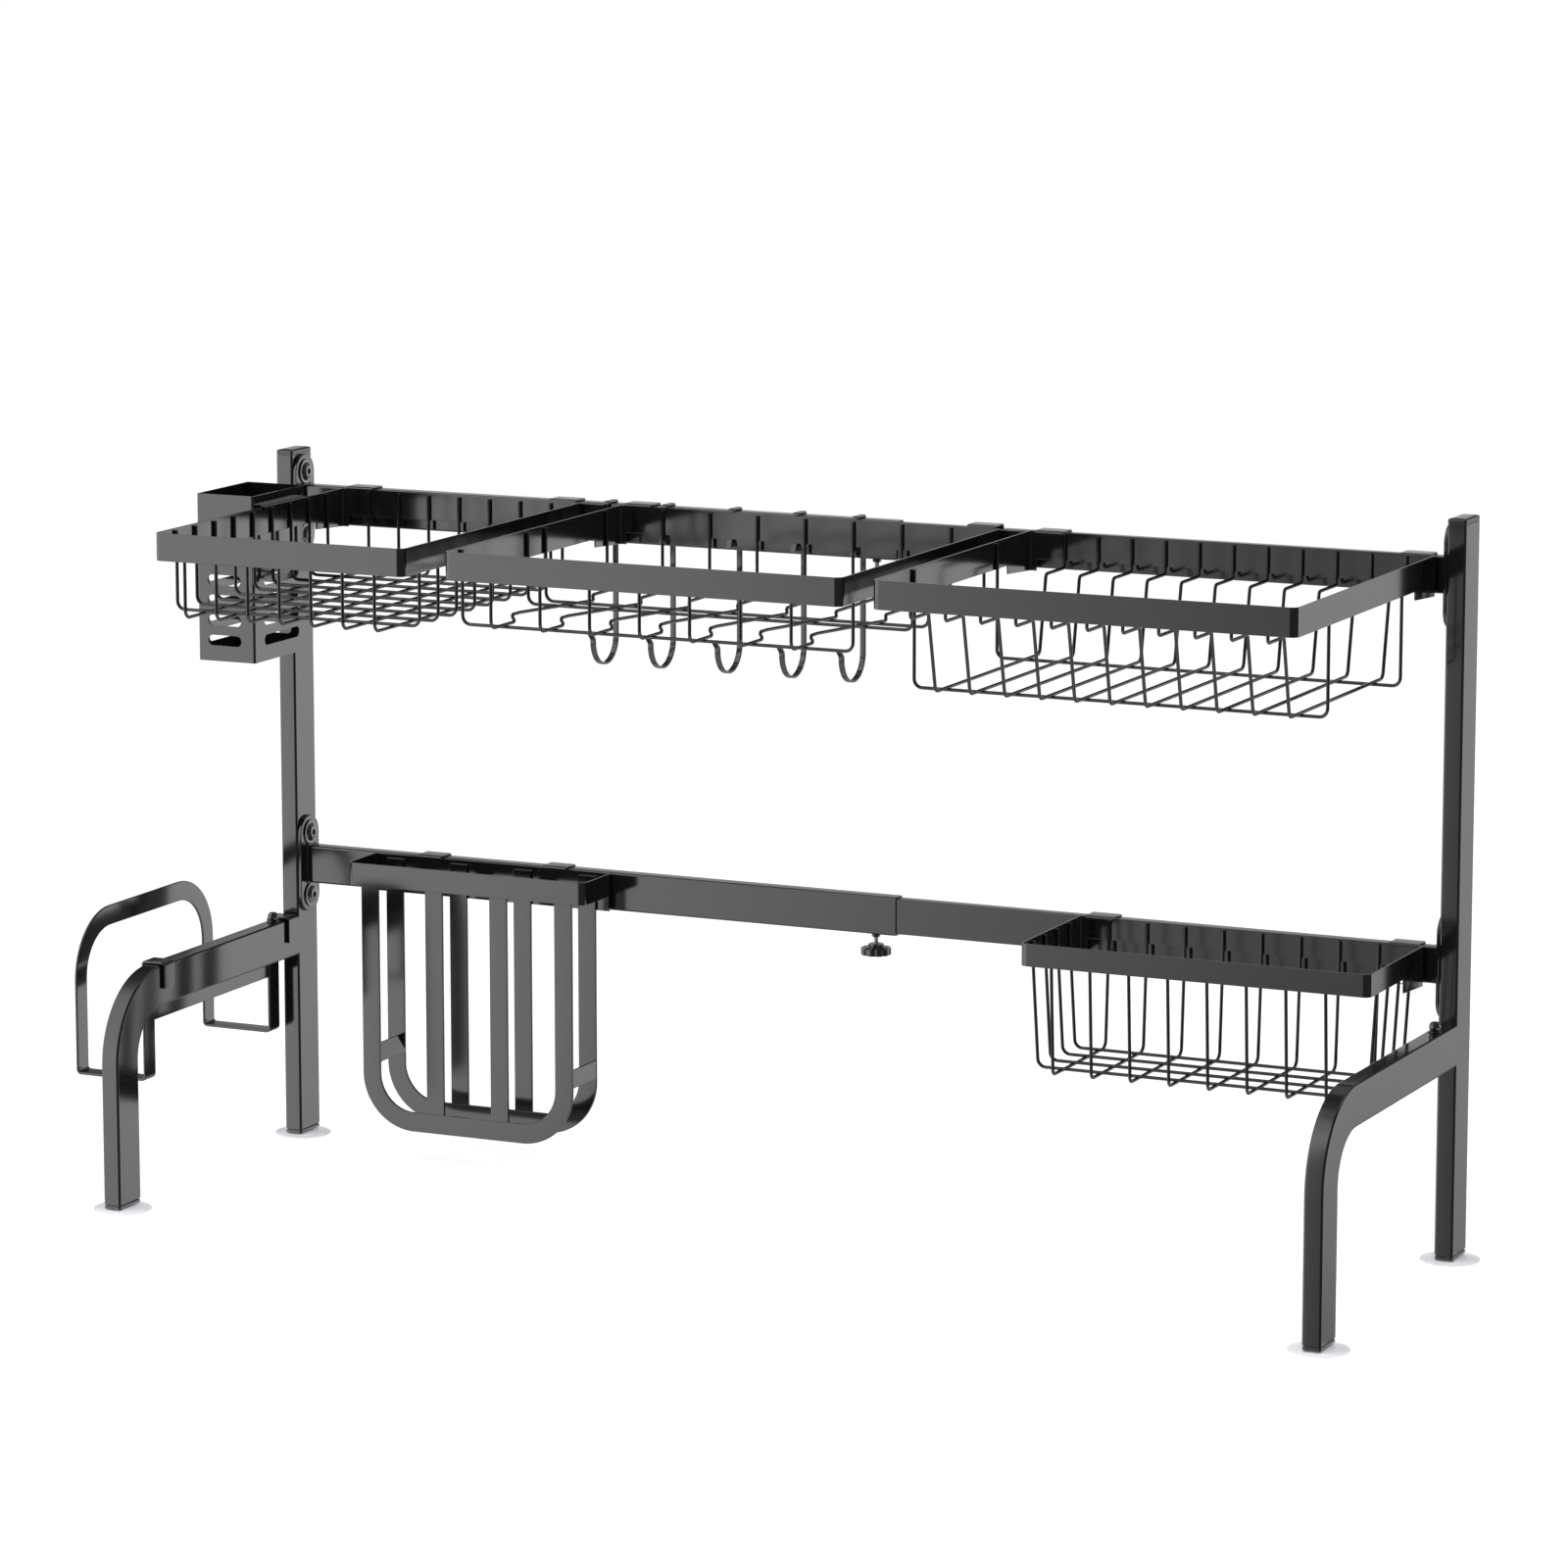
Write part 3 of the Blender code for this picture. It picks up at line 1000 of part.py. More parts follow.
def build_hooks():
    """Five flat J hooks that ride on the upper beam's top."""
    beam_top = UPPER_BEAM_AXIS + BEAM_HEIGHT / 2
    half = HOOK_THICKNESS / 2
    lip_y = BASKET_BACK - SHEET - SEAT_GAP - half
    back_y = BEAM_BACK + SEAT_GAP + half
    lip_low = rim_top(UPPER_BEAM_AXIS) - WIRE_TOP_DROP + LIP_TO_WIRE
    level = beam_top + SEAT_GAP + half
    curl_axis = HOOK_BOTTOM + half + HOOK_CURL
    tip_y = back_y - 2 * HOOK_CURL
    corners = [(lip_y, lip_low), (lip_y, level), (back_y, level), (back_y, curl_axis - HOOK_CURL),
               (tip_y, curl_axis - HOOK_CURL), (tip_y, curl_axis + HOOK_TIP_RISE)]
    square = [(-HOOK_WIDTH / 2, -half), (HOOK_WIDTH / 2, -half), (HOOK_WIDTH / 2, half), (-HOOK_WIDTH / 2, half)]
    tight = HOOK_BEND
    points = rounded(corners[:4], [0, tight, tight, 0], 2)[:-1]
    for step in range(9):
        angle = math.radians(180 * step / 8)
        middle = back_y - HOOK_CURL
        points.append(Vector((middle + HOOK_CURL * math.cos(angle), curl_axis - HOOK_CURL * math.sin(angle))))
    points.append(Vector(corners[-1]))
    for number, place in enumerate(HOOK_PLACES, 1):
        solid = loft(stations(in_plane(points, "YZ", place), square, X_AXIS))[0]
        piece("hook_" + str(number), solid, BLACK_PAINT, Vector((place, back_y, level)))


def centre_on_footprint():
    """Move the whole rack so that the middle of its footprint, at floor level, is at zero."""
    bpy.context.view_layer.update()
    corners = [item.matrix_world @ vertex.co for item in bpy.data.objects for vertex in item.data.vertices]
    middle_x = (min(corner.x for corner in corners) + max(corner.x for corner in corners)) / 2
    middle_y = (min(corner.y for corner in corners) + max(corner.y for corner in corners)) / 2
    for item in bpy.data.objects:
        item.location -= Vector((middle_x, middle_y, 0))


def build():
    clear_scene()
    for side in ("left", "right"):
        build_upright(side)
        build_leg(side)
        build_ends(side)
        build_flanges(side)
    for tier, height in (("upper", UPPER_BEAM_AXIS), ("lower", LOWER_BEAM_AXIS)):
        build_beam(tier, height)
        build_clamp(tier, height)
    build_left_basket()
    build_middle_basket()
    build_right_basket()
    build_lower_basket()
    build_board_holder()
    build_utensil_box()
    build_side_rack()
    build_hooks()
    centre_on_footprint()


build()
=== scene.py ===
"""Looks of an extendable two-tier dish rack: gloss black powder-coated steel tube, sheet and wire,
black oxide screws, zinc-plated studs, moulded end caps and knobs, and milky suction feet, in a
white studio."""
import json
import math

import bpy
from mathutils import Matrix, Vector


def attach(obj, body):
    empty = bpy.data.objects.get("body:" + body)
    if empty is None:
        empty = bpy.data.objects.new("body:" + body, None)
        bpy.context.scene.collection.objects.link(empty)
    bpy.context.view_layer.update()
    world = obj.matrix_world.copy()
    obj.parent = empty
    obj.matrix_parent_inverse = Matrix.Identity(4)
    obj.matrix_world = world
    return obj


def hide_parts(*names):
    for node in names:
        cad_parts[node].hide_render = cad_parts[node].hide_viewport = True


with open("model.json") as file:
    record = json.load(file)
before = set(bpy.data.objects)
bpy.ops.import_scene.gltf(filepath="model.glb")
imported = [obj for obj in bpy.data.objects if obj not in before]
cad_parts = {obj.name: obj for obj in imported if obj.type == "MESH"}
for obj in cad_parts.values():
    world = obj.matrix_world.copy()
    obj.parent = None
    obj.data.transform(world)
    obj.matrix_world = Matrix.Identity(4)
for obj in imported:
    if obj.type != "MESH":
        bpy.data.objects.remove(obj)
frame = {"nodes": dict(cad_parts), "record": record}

bpy.ops.object.select_all(action="DESELECT")
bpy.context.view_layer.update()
MM = 0.001
X_AXIS = Vector((1, 0, 0))
Y_AXIS = Vector((0, 1, 0))
Z_AXIS = Vector((0, 0, 1))
BODY_OF = {node: body for body, nodes in frame["record"]["behaviour"]["bodies"].items() for node in nodes}


# Sizes, in millimetres
# Places are measured from the left upright's outer face, the uprights' front face and the floor.

MIDDLE_X, MIDDLE_Y = 451.5, -120.25
RACK_WIDTH = 950
TUBE_WIDTH, TUBE_DEPTH, TUBE_CORNER, TUBE_WALL = 14, 30, 1.6, 1.2
TUBE_MIDDLE = TUBE_DEPTH / 2
POST_LOW, POST_HIGH = 6, 530
ARM_START, ARM_AXIS = 1.5, 159
LEG_Y, LEG_BEND = -255.5, 50
BEAM_AXES = {"upper": 492.5, "lower": 213.5}
BEAM_WIDTH, BEAM_HEIGHT, BEAM_WALL = 12.5, 29, 1
BEAM_Y = 16
MOUNT_Y = 15    # of the flanges, their screws and the clamps
FLANGE_FACE = 16.8
SCREW_X = 493.8
WIRE = 1.25     # radius of the round wire
BAR = 2         # thickness of the flat bar


def spot(x, y, z):
    """A place in millimetres as a point of the scene, whose origin is under the footprint's middle."""
    return Vector((x - MIDDLE_X, y - MIDDLE_Y, z)) * MM


def side_x(side, inward):
    """The x that lies some way inwards from a side's outer face."""
    return inward if side == "left" else RACK_WIDTH - inward


def inward_axis(side):
    return X_AXIS if side == "left" else -X_AXIS


# Camera, studio and light
# Places and sizes are in metres, the lens and the sensor in millimetres.

CAMERA_PLACE = (1.88878739, -3.98373044, 1.10964367)
CAMERA_YAW = 0.436488226
CAMERA_PITCH = 0.175182339
CAMERA_LENS = 143.206
CAMERA_SENSOR = 36
CAMERA_REACH = 50

WHITE = (1, 1, 1, 1)
SOFT_LIGHT = 0.9
FLOOR_SIZE = 24
FLOOR_MATT = (0.32, 0.32, 0.32, 1)      # what the camera sees lit, with the shadow
FLOOR_GLOW = 0.72                       # what the floor adds of its own to be white
FLOOR_BOUNCE = (0.7, 0.7, 0.7, 1)       # what lights the rack from below

# Name, place, target, width and height, and watts
LAMPS = (("left_softbox", (-2.6, -2.4, 1.6), (0, 0, 0.3), (1.6, 2.2), 60),
         ("top_softbox", (0.2, -0.6, 3.0), (0, 0, 0), (2.6, 1.8), 55))


def bearing(degrees):
    """Where a direction lies on the round ramp: degrees from straight ahead towards the left."""
    return (degrees + 180) / 360


# The studio that the gloss mirrors, as greys by bearing and by height (0 straight down, 1 straight up)
ROUND_STOPS = [(bearing(-180), 0.62), (bearing(-161), 0.7), (bearing(-149), 1.0), (bearing(-132), 1.0),
               (bearing(-112), 0.06), (bearing(12), 0.06), (bearing(19), 0.3), (bearing(30), 1.0),
               (bearing(100), 1.0), (bearing(130), 0.3), (bearing(148), 0.15), (bearing(151), 0.9),
               (bearing(165), 1.0), (bearing(180), 0.62)]
BACK_STOPS = [(bearing(-125), 1.0), (bearing(-110), 0.0), (bearing(80), 0.0), (bearing(110), 1.0)]
BEHIND_STOPS = [(0.0, 0.04), (0.335, 0.04), (0.366, 0.45), (0.376, 0.78), (0.392, 0.94), (0.435, 1.08),
                (0.5, 1.08), (0.57, 0.7), (0.605, 0.56), (0.63, 0.36), (0.66, 0.12), (0.75, 0.2),
                (0.95, 0.35)]
AHEAD_STOPS = [(0.0, 0.04), (0.325, 0.04), (0.36, 0.75), (0.385, 0.92), (0.4, 1.0), (0.5, 1.0),
               (0.9, 0.8), (0.96, 0.6), (0.985, 0.1)]
TABLE_STOPS = [(0.0, 1.0), (0.31, 1.0), (0.345, 0.0)]
TABLE_GREY = (0.5, 0.5, 0.5, 1)


def set_camera():
    bpy.context.scene.view_settings.view_transform = "Standard"
    data = bpy.data.cameras.new("photo_camera")
    data.lens = CAMERA_LENS
    data.sensor_width = CAMERA_SENSOR
    data.clip_end = CAMERA_REACH
    camera = bpy.data.objects.new("photo_camera", data)
    camera.location = CAMERA_PLACE
    camera.rotation_euler = (math.pi / 2 - CAMERA_PITCH, 0, CAMERA_YAW)
    bpy.context.scene.collection.objects.link(camera)
    bpy.context.scene.camera = camera


def linear(hex_colour):
    """An sRGB hex colour as linear RGBA."""
    channels = []
    for index in (1, 3, 5):
        part = int(hex_colour[index:index + 2], 16) / 255
        channels.append(part / 12.92 if part <= 0.04045 else ((part + 0.055) / 1.055) ** 2.4)
    return tuple(channels) + (1,)


def add_node(tree, kind, settings=None, sources=None, stops=None):
    """Add a node, give its properties and sockets their values, and link what feeds it. A colour ramp
    also gets its (place, grey) stops."""
    node = tree.nodes.new(kind)
    for name, value in (settings or {}).items():
        if isinstance(name, int) or name in node.inputs:
            node.inputs[name].default_value = value
        else:
            setattr(node, name, value)
    for name, source in (sources or {}).items():
        tree.links.new(source, node.inputs[name])
    if stops:
        ramp = node.color_ramp
        ramp.interpolation = "EASE"
        while len(ramp.elements) < len(stops):
            ramp.elements.new(0.5)
        for element, (place, grey) in zip(ramp.elements, stops):
            element.position = place
            element.color = (grey, grey, grey, 1)
    return node


def set_world():
    """A white studio. The gloss mirrors a softbox at the front left and a white backdrop behind, with
    black flags between them, and below them a light grey table."""
    world = bpy.data.worlds.new("white_studio")
    world.use_nodes = True
    tree = world.node_tree
    tree.nodes.clear()
    path = add_node(tree, "ShaderNodeLightPath")
    view = add_node(tree, "ShaderNodeTexCoord")
    parts = add_node(tree, "ShaderNodeSeparateXYZ", {}, {0: view.outputs["Generated"]})
    west = add_node(tree, "ShaderNodeMath", {"operation": "MULTIPLY", 1: -1.0}, {0: parts.outputs["X"]})
    south = add_node(tree, "ShaderNodeMath", {"operation": "MULTIPLY", 1: -1.0}, {0: parts.outputs["Y"]})
    turn = add_node(tree, "ShaderNodeMath", {"operation": "ARCTAN2"},
                    {0: west.outputs[0], 1: south.outputs[0]})
    share = add_node(tree, "ShaderNodeMapRange", {"From Min": -math.pi, "From Max": math.pi},
                     {"Value": turn.outputs[0]})
    height = add_node(tree, "ShaderNodeMapRange", {"From Min": -1.0, "From Max": 1.0},
                      {"Value": parts.outputs["Z"]})
    around = add_node(tree, "ShaderNodeValToRGB", {}, {"Fac": share.outputs[0]}, ROUND_STOPS)
    back = add_node(tree, "ShaderNodeValToRGB", {}, {"Fac": share.outputs[0]}, BACK_STOPS)
    behind = add_node(tree, "ShaderNodeValToRGB", {}, {"Fac": height.outputs[0]}, BEHIND_STOPS)
    ahead = add_node(tree, "ShaderNodeValToRGB", {}, {"Fac": height.outputs[0]}, AHEAD_STOPS)
    steep = add_node(tree, "ShaderNodeValToRGB", {}, {"Fac": height.outputs[0]}, TABLE_STOPS)
    tall = add_node(tree, "ShaderNodeMix", {"data_type": "RGBA"},
                    {"Factor": back.outputs["Color"], 6: ahead.outputs["Color"],
                     7: behind.outputs["Color"]})
    product = add_node(tree, "ShaderNodeMix",
                       {"data_type": "RGBA", "blend_type": "MULTIPLY", "Factor": 1.0},
                       {6: tall.outputs[2], 7: around.outputs["Color"]})
    studio = add_node(tree, "ShaderNodeMix", {"data_type": "RGBA", 7: TABLE_GREY},
                      {"Factor": steep.outputs["Color"], 6: product.outputs[2]})
    mirrored = add_node(tree, "ShaderNodeBackground", {"Strength": 1}, {"Color": studio.outputs[2]})
    white = add_node(tree, "ShaderNodeBackground", {"Color": WHITE, "Strength": 1})
    soft = add_node(tree, "ShaderNodeBackground", {"Color": WHITE, "Strength": SOFT_LIGHT})
    straight = add_node(tree, "ShaderNodeMath", {"operation": "MAXIMUM"},
                        {0: path.outputs["Is Camera Ray"], 1: path.outputs["Is Transmission Ray"]})
    seen = add_node(tree, "ShaderNodeMixShader", {},
                    {0: straight.outputs[0], 1: soft.outputs[0], 2: white.outputs[0]})
    mix = add_node(tree, "ShaderNodeMixShader", {},
                   {0: path.outputs["Is Glossy Ray"], 1: seen.outputs[0], 2: mirrored.outputs[0]})
    add_node(tree, "ShaderNodeOutputWorld", {}, {"Surface": mix.outputs[0]})
    bpy.context.scene.world = world


def lay_floor():
    """A wide white sweep that keeps only a faint shadow and stays out of the gloss."""
    bpy.ops.mesh.primitive_plane_add(size=FLOOR_SIZE, location=(0, 0, 0))
    floor = bpy.context.object
    floor.name = "studio_floor"
    material = bpy.data.materials.new("matt_white_studio_floor")
    material.use_nodes = True
    tree = material.node_tree
    tree.nodes.clear()
    matt = add_node(tree, "ShaderNodeBsdfDiffuse", {"Color": FLOOR_MATT})
    glow = add_node(tree, "ShaderNodeEmission", {"Color": WHITE, "Strength": FLOOR_GLOW})
    dim = add_node(tree, "ShaderNodeBsdfDiffuse", {"Color": FLOOR_BOUNCE})
    lit = add_node(tree, "ShaderNodeAddShader", {}, {0: matt.outputs[0], 1: glow.outputs[0]})
    path = add_node(tree, "ShaderNodeLightPath")
    seen = add_node(tree, "ShaderNodeMath", {"operation": "MAXIMUM"},
                    {0: path.outputs["Is Camera Ray"], 1: path.outputs["Is Transmission Ray"]})
    mix = add_node(tree, "ShaderNodeMixShader", {},
                   {0: seen.outputs[0], 1: dim.outputs[0], 2: lit.outputs[0]})
    add_node(tree, "ShaderNodeOutputMaterial", {}, {"Surface": mix.outputs[0]})
    floor.data.materials.append(material)
    floor.visible_glossy = False
    bpy.ops.object.select_all(action="DESELECT")


def add_lamps():
    """Softboxes that light the rack but don't show in its gloss."""
    for name, place, target, size, watts in LAMPS:
        data = bpy.data.lights.new(name, "AREA")
        data.shape = "RECTANGLE"
        data.size, data.size_y = size
        data.energy = watts
        lamp = bpy.data.objects.new(name, data)
        lamp.location = place
        lamp.rotation_euler = (Vector(target) - Vector(place)).to_track_quat("-Z", "Y").to_euler()
        lamp.visible_glossy = False
        bpy.context.scene.collection.objects.link(lamp)


# Materials


def new_material(name, base, roughness, settings):
    """A Principled material with its tree; the caller adds the finish."""
    material = bpy.data.materials.new(name)
    material.use_nodes = True
    tree = material.node_tree
    shader = tree.nodes["Principled BSDF"]
    shader.inputs["Base Color"].default_value = linear(base)
    shader.inputs["Roughness"].default_value = roughness
    for socket, value in settings.items():
        shader.inputs[socket].default_value = value
    place = add_node(tree, "ShaderNodeTexCoord")
    return material, tree, shader, place.outputs["Object"]


def lumps(size_mm, detail=2.0, roughness=0.5):
    """The settings of a noise whose lumps are about size_mm across."""
    return {"Scale": 1 / (size_mm * MM), "Detail": detail, "Roughness": roughness}


def uneven(tree, place, size_mm, low, high):
    """A value that drifts between two bounds."""
    cloud = add_node(tree, "ShaderNodeTexNoise", lumps(size_mm), {"Vector": place})
    drift = add_node(tree, "ShaderNodeMapRange", {"To Min": low, "To Max": high},
                     {"Value": cloud.outputs["Fac"]})
    return drift.outputs["Result"]


def press_grain(tree, place, shader, size_mm, detail, strength, depth_mm):
    """Give the skin a relief with lumps of a size."""
    grain = add_node(tree, "ShaderNodeTexNoise", lumps(size_mm, detail), {"Vector": place})
    bump = add_node(tree, "ShaderNodeBump", {"Strength": strength, "Distance": depth_mm * MM},
                    {"Height": grain.outputs["Fac"]})
    tree.links.new(bump.outputs["Normal"], shader.inputs["Normal"])


def mottle(tree, place, shader, settings, dark, pale):
    """Let the base colour drift between two hex colours."""
    cloud = add_node(tree, "ShaderNodeTexNoise", settings, {"Vector": place})
    colour = add_node(tree, "ShaderNodeMix", {"data_type": "RGBA", 6: linear(dark), 7: linear(pale)},
                      {"Factor": cloud.outputs["Fac"]})
    tree.links.new(colour.outputs[2], shader.inputs["Base Color"])


def powder_coat():
    """Gloss black polyester powder, sprayed on steel and baked: it flows out almost flat, with a
    faint orange peel 3 mm across, and mirrors the room softly, a little unevenly along a bar."""
    material, tree, shader, place = new_material("black_powder_coat_gloss", "#0c0c0d", 0.11, {"IOR": 2.32})
    drift = uneven(tree, place, 60, 0.1, 0.13)
    fine = uneven(tree, place, 1.6, -0.005, 0.005)
    total = add_node(tree, "ShaderNodeMath", {"operation": "ADD"}, {0: drift, 1: fine})
    tree.links.new(total.outputs[0], shader.inputs["Roughness"])
    press_grain(tree, place, shader, 3.0, 1.0, 0.02, 0.05)
    return material


def dipped_wire():
    """The same black powder on drawn wire: thicker and rounder, so its gloss breaks up sooner."""
    material, tree, shader, place = new_material("black_powder_coat_wire", "#080809", 0.12, {"IOR": 2.0})
    tree.links.new(uneven(tree, place, 12, 0.1, 0.15), shader.inputs["Roughness"])
    press_grain(tree, place, shader, 1.2, 1.0, 0.04, 0.04)
    return material


def moulded_plastic():
    """Injection-moulded black polypropylene with a finely spark-eroded satin skin."""
    material, tree, shader, place = new_material("black_polypropylene_moulded", "#111112", 0.16,
                                                 {"IOR": 2.2})
    tree.links.new(uneven(tree, place, 8, 0.12, 0.2), shader.inputs["Roughness"])
    press_grain(tree, place, shader, 0.5, 2.0, 0.06, 0.03)
    return material


def black_oxide_steel():
    """Cold-headed steel with an oiled black oxide finish: a dark metal mirror with faint mottling."""
    material, tree, shader, place = new_material("black_oxide_steel", "#88888b", 0.2, {"Metallic": 1.0})
    mottle(tree, place, shader, lumps(3, 3.0, 0.6), "#7a7a7d", "#96969a")
    tree.links.new(uneven(tree, place, 1.0, 0.14, 0.26), shader.inputs["Roughness"])
    return material


def zinc_steel():
    """Zinc-plated steel with a rolled thread: bright, cloudy and satin, with a faint blue tone."""
    material, tree, shader, place = new_material("zinc_plated_steel", "#e4e6ea", 0.4, {"Metallic": 1.0})
    mottle(tree, place, shader, lumps(2, 3.0, 0.6), "#dcdee2", "#ecedf0")
    tree.links.new(uneven(tree, place, 1.0, 0.36, 0.46), shader.inputs["Roughness"])
    return material


def milky_rubber():
    """Soft clear PVC, pressed into a thin cup: milky where thick, slightly blue, with a smooth skin."""
    material, tree, shader, place = new_material("milky_soft_pvc", "#eef0f5", 0.22,
                                                 {"IOR": 1.45, "Transmission Weight": 0.2})
    mottle(tree, place, shader, lumps(6), "#f0f1f7", "#fafafd")
    tree.links.new(uneven(tree, place, 2, 0.18, 0.3), shader.inputs["Roughness"])
    return material


PAINT = powder_coat()
WIRE_PAINT = dipped_wire()
PLASTIC = moulded_plastic()
OXIDE = black_oxide_steel()
ZINC = zinc_steel()
RUBBER = milky_rubber()


# Modelling by operators


def take(item):
    """Select one object alone and make it the active one."""
    bpy.ops.object.select_all(action="DESELECT")
    item.select_set(True)
    bpy.context.view_layer.objects.active = item
    return item


def settle(item):
    """Put an object's place, turn and size into its mesh."""
    take(item)
    bpy.ops.object.transform_apply(location=True, rotation=True, scale=True)
    return item


def apply_modifiers(item):
    take(item)
    for modifier in list(item.modifiers):
        bpy.ops.object.modifier_apply(modifier=modifier.name)
    return item


def joined(items):
    """Several objects as one."""
    bpy.ops.object.select_all(action="DESELECT")
    for item in items:
        item.select_set(True)
    bpy.context.view_layer.objects.active = items[0]
    if len(items) > 1:
        bpy.ops.object.join()
    return bpy.context.object


def outward(item, merge_mm=0.01):
    """Merge doubles and turn every face outwards."""
    take(item)
    bpy.ops.object.mode_set(mode="EDIT")
    bpy.ops.mesh.select_all(action="SELECT")
    bpy.ops.mesh.remove_doubles(threshold=merge_mm * MM)
    bpy.ops.mesh.normals_make_consistent(inside=False)
    bpy.ops.object.mode_set(mode="OBJECT")
    return item


def copy_of(item, move, name):
    """A copy with its own mesh, moved in its mesh."""
    twin = item.copy()
    twin.data = item.data.copy()
    twin.name = name
    twin.data.name = name
    bpy.context.scene.collection.objects.link(twin)
    twin.location = Vector(move)
    return settle(twin)


def soften(item, width_mm, segments=2, angle=30):
    """Round every sharp edge a little and shade the rest smooth."""
    bevel = item.modifiers.new("soft_edge", "BEVEL")
    bevel.width = width_mm * MM
    bevel.segments = segments
    bevel.limit_method = "ANGLE"
    bevel.angle_limit = math.radians(angle)
    apply_modifiers(item)
    return smooth(item, angle)


def smooth(item, angle):
    """Shade smooth up to an angle, with the large flat faces kept flat."""
    take(item)
    bpy.ops.object.shade_smooth_by_angle(angle=math.radians(angle))
    weighted = item.modifiers.new("flat_faces", "WEIGHTED_NORMAL")
    weighted.keep_sharp = True
    return apply_modifiers(item)


def done(item, name, material, *nodes):
    """Name and paint a finished piece, and let it stand for its CAD nodes on their body."""
    item.name = name
    item.data.name = name
    item.data.materials.clear()
    item.data.materials.append(material)
    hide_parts(*nodes)
    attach(item, BODY_OF[nodes[0]])
    bpy.ops.object.select_all(action="DESELECT")
    return item


def path_moves(corners, bends):
    """A rod's path as runs and turns: corners of the centre line, and the radius at each."""
    moves = []
    place = corners[0]
    for index in range(1, len(corners) - 1):
        before = (corners[index] - corners[index - 1]).normalized()
        after = (corners[index + 1] - corners[index]).normalized()
        turn = before.angle(after)
        reach = bends[index] * math.tan(turn / 2)
        bend_start = corners[index] - before * reach
        moves.append(("run", bend_start - place))
        axis = before.cross(after).normalized()
        centre = bend_start + axis.cross(before) * bends[index]
        moves.append(("turn", centre, axis, turn))
        place = corners[index] + after * reach
    moves.append(("run", corners[-1] - place))
    return moves


def swept(outline, corners, bends, steps=6):
    """Push an outline along a path by extrude and spin; the ends stay open. The spin operator turns
    the other way round its axis, so the angle is negative."""
    item = take(outline)
    bpy.ops.object.mode_set(mode="EDIT")
    bpy.ops.mesh.select_mode(type="EDGE")
    bpy.ops.mesh.select_all(action="SELECT")
    for move in path_moves(corners, bends):
        if move[0] == "run":
            if move[1].length > 1e-6:
                bpy.ops.mesh.extrude_region_move(TRANSFORM_OT_translate={"value": move[1]})
        else:
            bpy.ops.mesh.spin(steps=steps, angle=-move[3], center=move[1], axis=move[2])
    bpy.ops.object.mode_set(mode="OBJECT")
    return item


def filled(item):
    """Close the open ends and turn the faces outwards."""
    take(item)
    bpy.ops.object.mode_set(mode="EDIT")
    bpy.ops.mesh.select_mode(type="VERT")
    bpy.ops.mesh.select_all(action="SELECT")
    bpy.ops.mesh.remove_doubles(threshold=0.001 * MM)
    bpy.ops.mesh.fill_holes(sides=0)
    bpy.ops.mesh.select_all(action="SELECT")
    bpy.ops.mesh.normals_make_consistent(inside=False)
    bpy.ops.object.mode_set(mode="OBJECT")
    return item


def facing(direction, side):
    """The turn that lays an outline drawn on XY across a path: its X along `side`."""
    forward = Vector(direction).normalized()
    along = Vector(side).normalized()
    return Matrix((along, forward.cross(along), forward)).transposed().to_euler()


def ring_outline(radius_mm, place, direction, sides=12):
    """A circle without a face, at a place and across a direction."""
    side = X_AXIS if abs(Vector(direction).normalized().x) < 0.9 else Y_AXIS
    bpy.ops.mesh.primitive_circle_add(vertices=sides, radius=radius_mm * MM, fill_type="NOTHING",
                                      location=place, rotation=facing(direction, side))
    return settle(bpy.context.object)


def bar_outline(width_mm, depth_mm, corner_mm, place, direction, side, segments=3):
    """A rectangle with rounded corners and no face; its width lies along `side`."""
    bpy.ops.mesh.primitive_plane_add(size=1, location=(0, 0, 0))
    item = bpy.context.object
    item.scale = (width_mm * MM, depth_mm * MM, 1)
    settle(item)
    bpy.ops.object.mode_set(mode="EDIT")
    bpy.ops.mesh.select_all(action="SELECT")
    bpy.ops.mesh.bevel(offset=corner_mm * MM, segments=segments, affect="VERTICES")
    bpy.ops.mesh.select_all(action="SELECT")
    bpy.ops.mesh.delete(type="ONLY_FACE")
    bpy.ops.object.mode_set(mode="OBJECT")
    item.rotation_euler = facing(direction, side)
    item.location = place
    return settle(item)


def solid_bar(width_mm, depth_mm, corner_mm, corners, bends, side, steps=12, segments=2):
    """A bar along a path; the bends' radii are in millimetres."""
    outline = bar_outline(width_mm, depth_mm, corner_mm, corners[0], corners[1] - corners[0], side, segments)
    return smooth(filled(swept(outline, corners, [bend * MM for bend in bends], steps)), 50)


def hollow_tube(width_mm, depth_mm, corner_mm, wall_mm, corners, bends, side):
    """An open tube with a real wall."""
    outline = bar_outline(width_mm, depth_mm, corner_mm, corners[0], corners[1] - corners[0], side, 4)
    item = outward(swept(outline, corners, [bend * MM for bend in bends], 24))
    wall = item.modifiers.new("wall", "SOLIDIFY")
    wall.thickness = wall_mm * MM
    wall.offset = -1
    apply_modifiers(item)
    return smooth(item, 50)


def bent_wire(corners, bends):
    outline = ring_outline(WIRE, corners[0], corners[1] - corners[0])
    return smooth(filled(swept(outline, corners, [bend * MM for bend in bends])), 60)


def cut(item, cutters):
    """Cut solids away by the exact boolean."""
    tool = joined(cutters)
    boolean = item.modifiers.new("cut", "BOOLEAN")
    boolean.operation = "DIFFERENCE"
    boolean.solver = "EXACT"
    boolean.object = tool
    boolean.use_self = True
    apply_modifiers(item)
    bpy.data.objects.remove(tool, do_unlink=True)
    return item


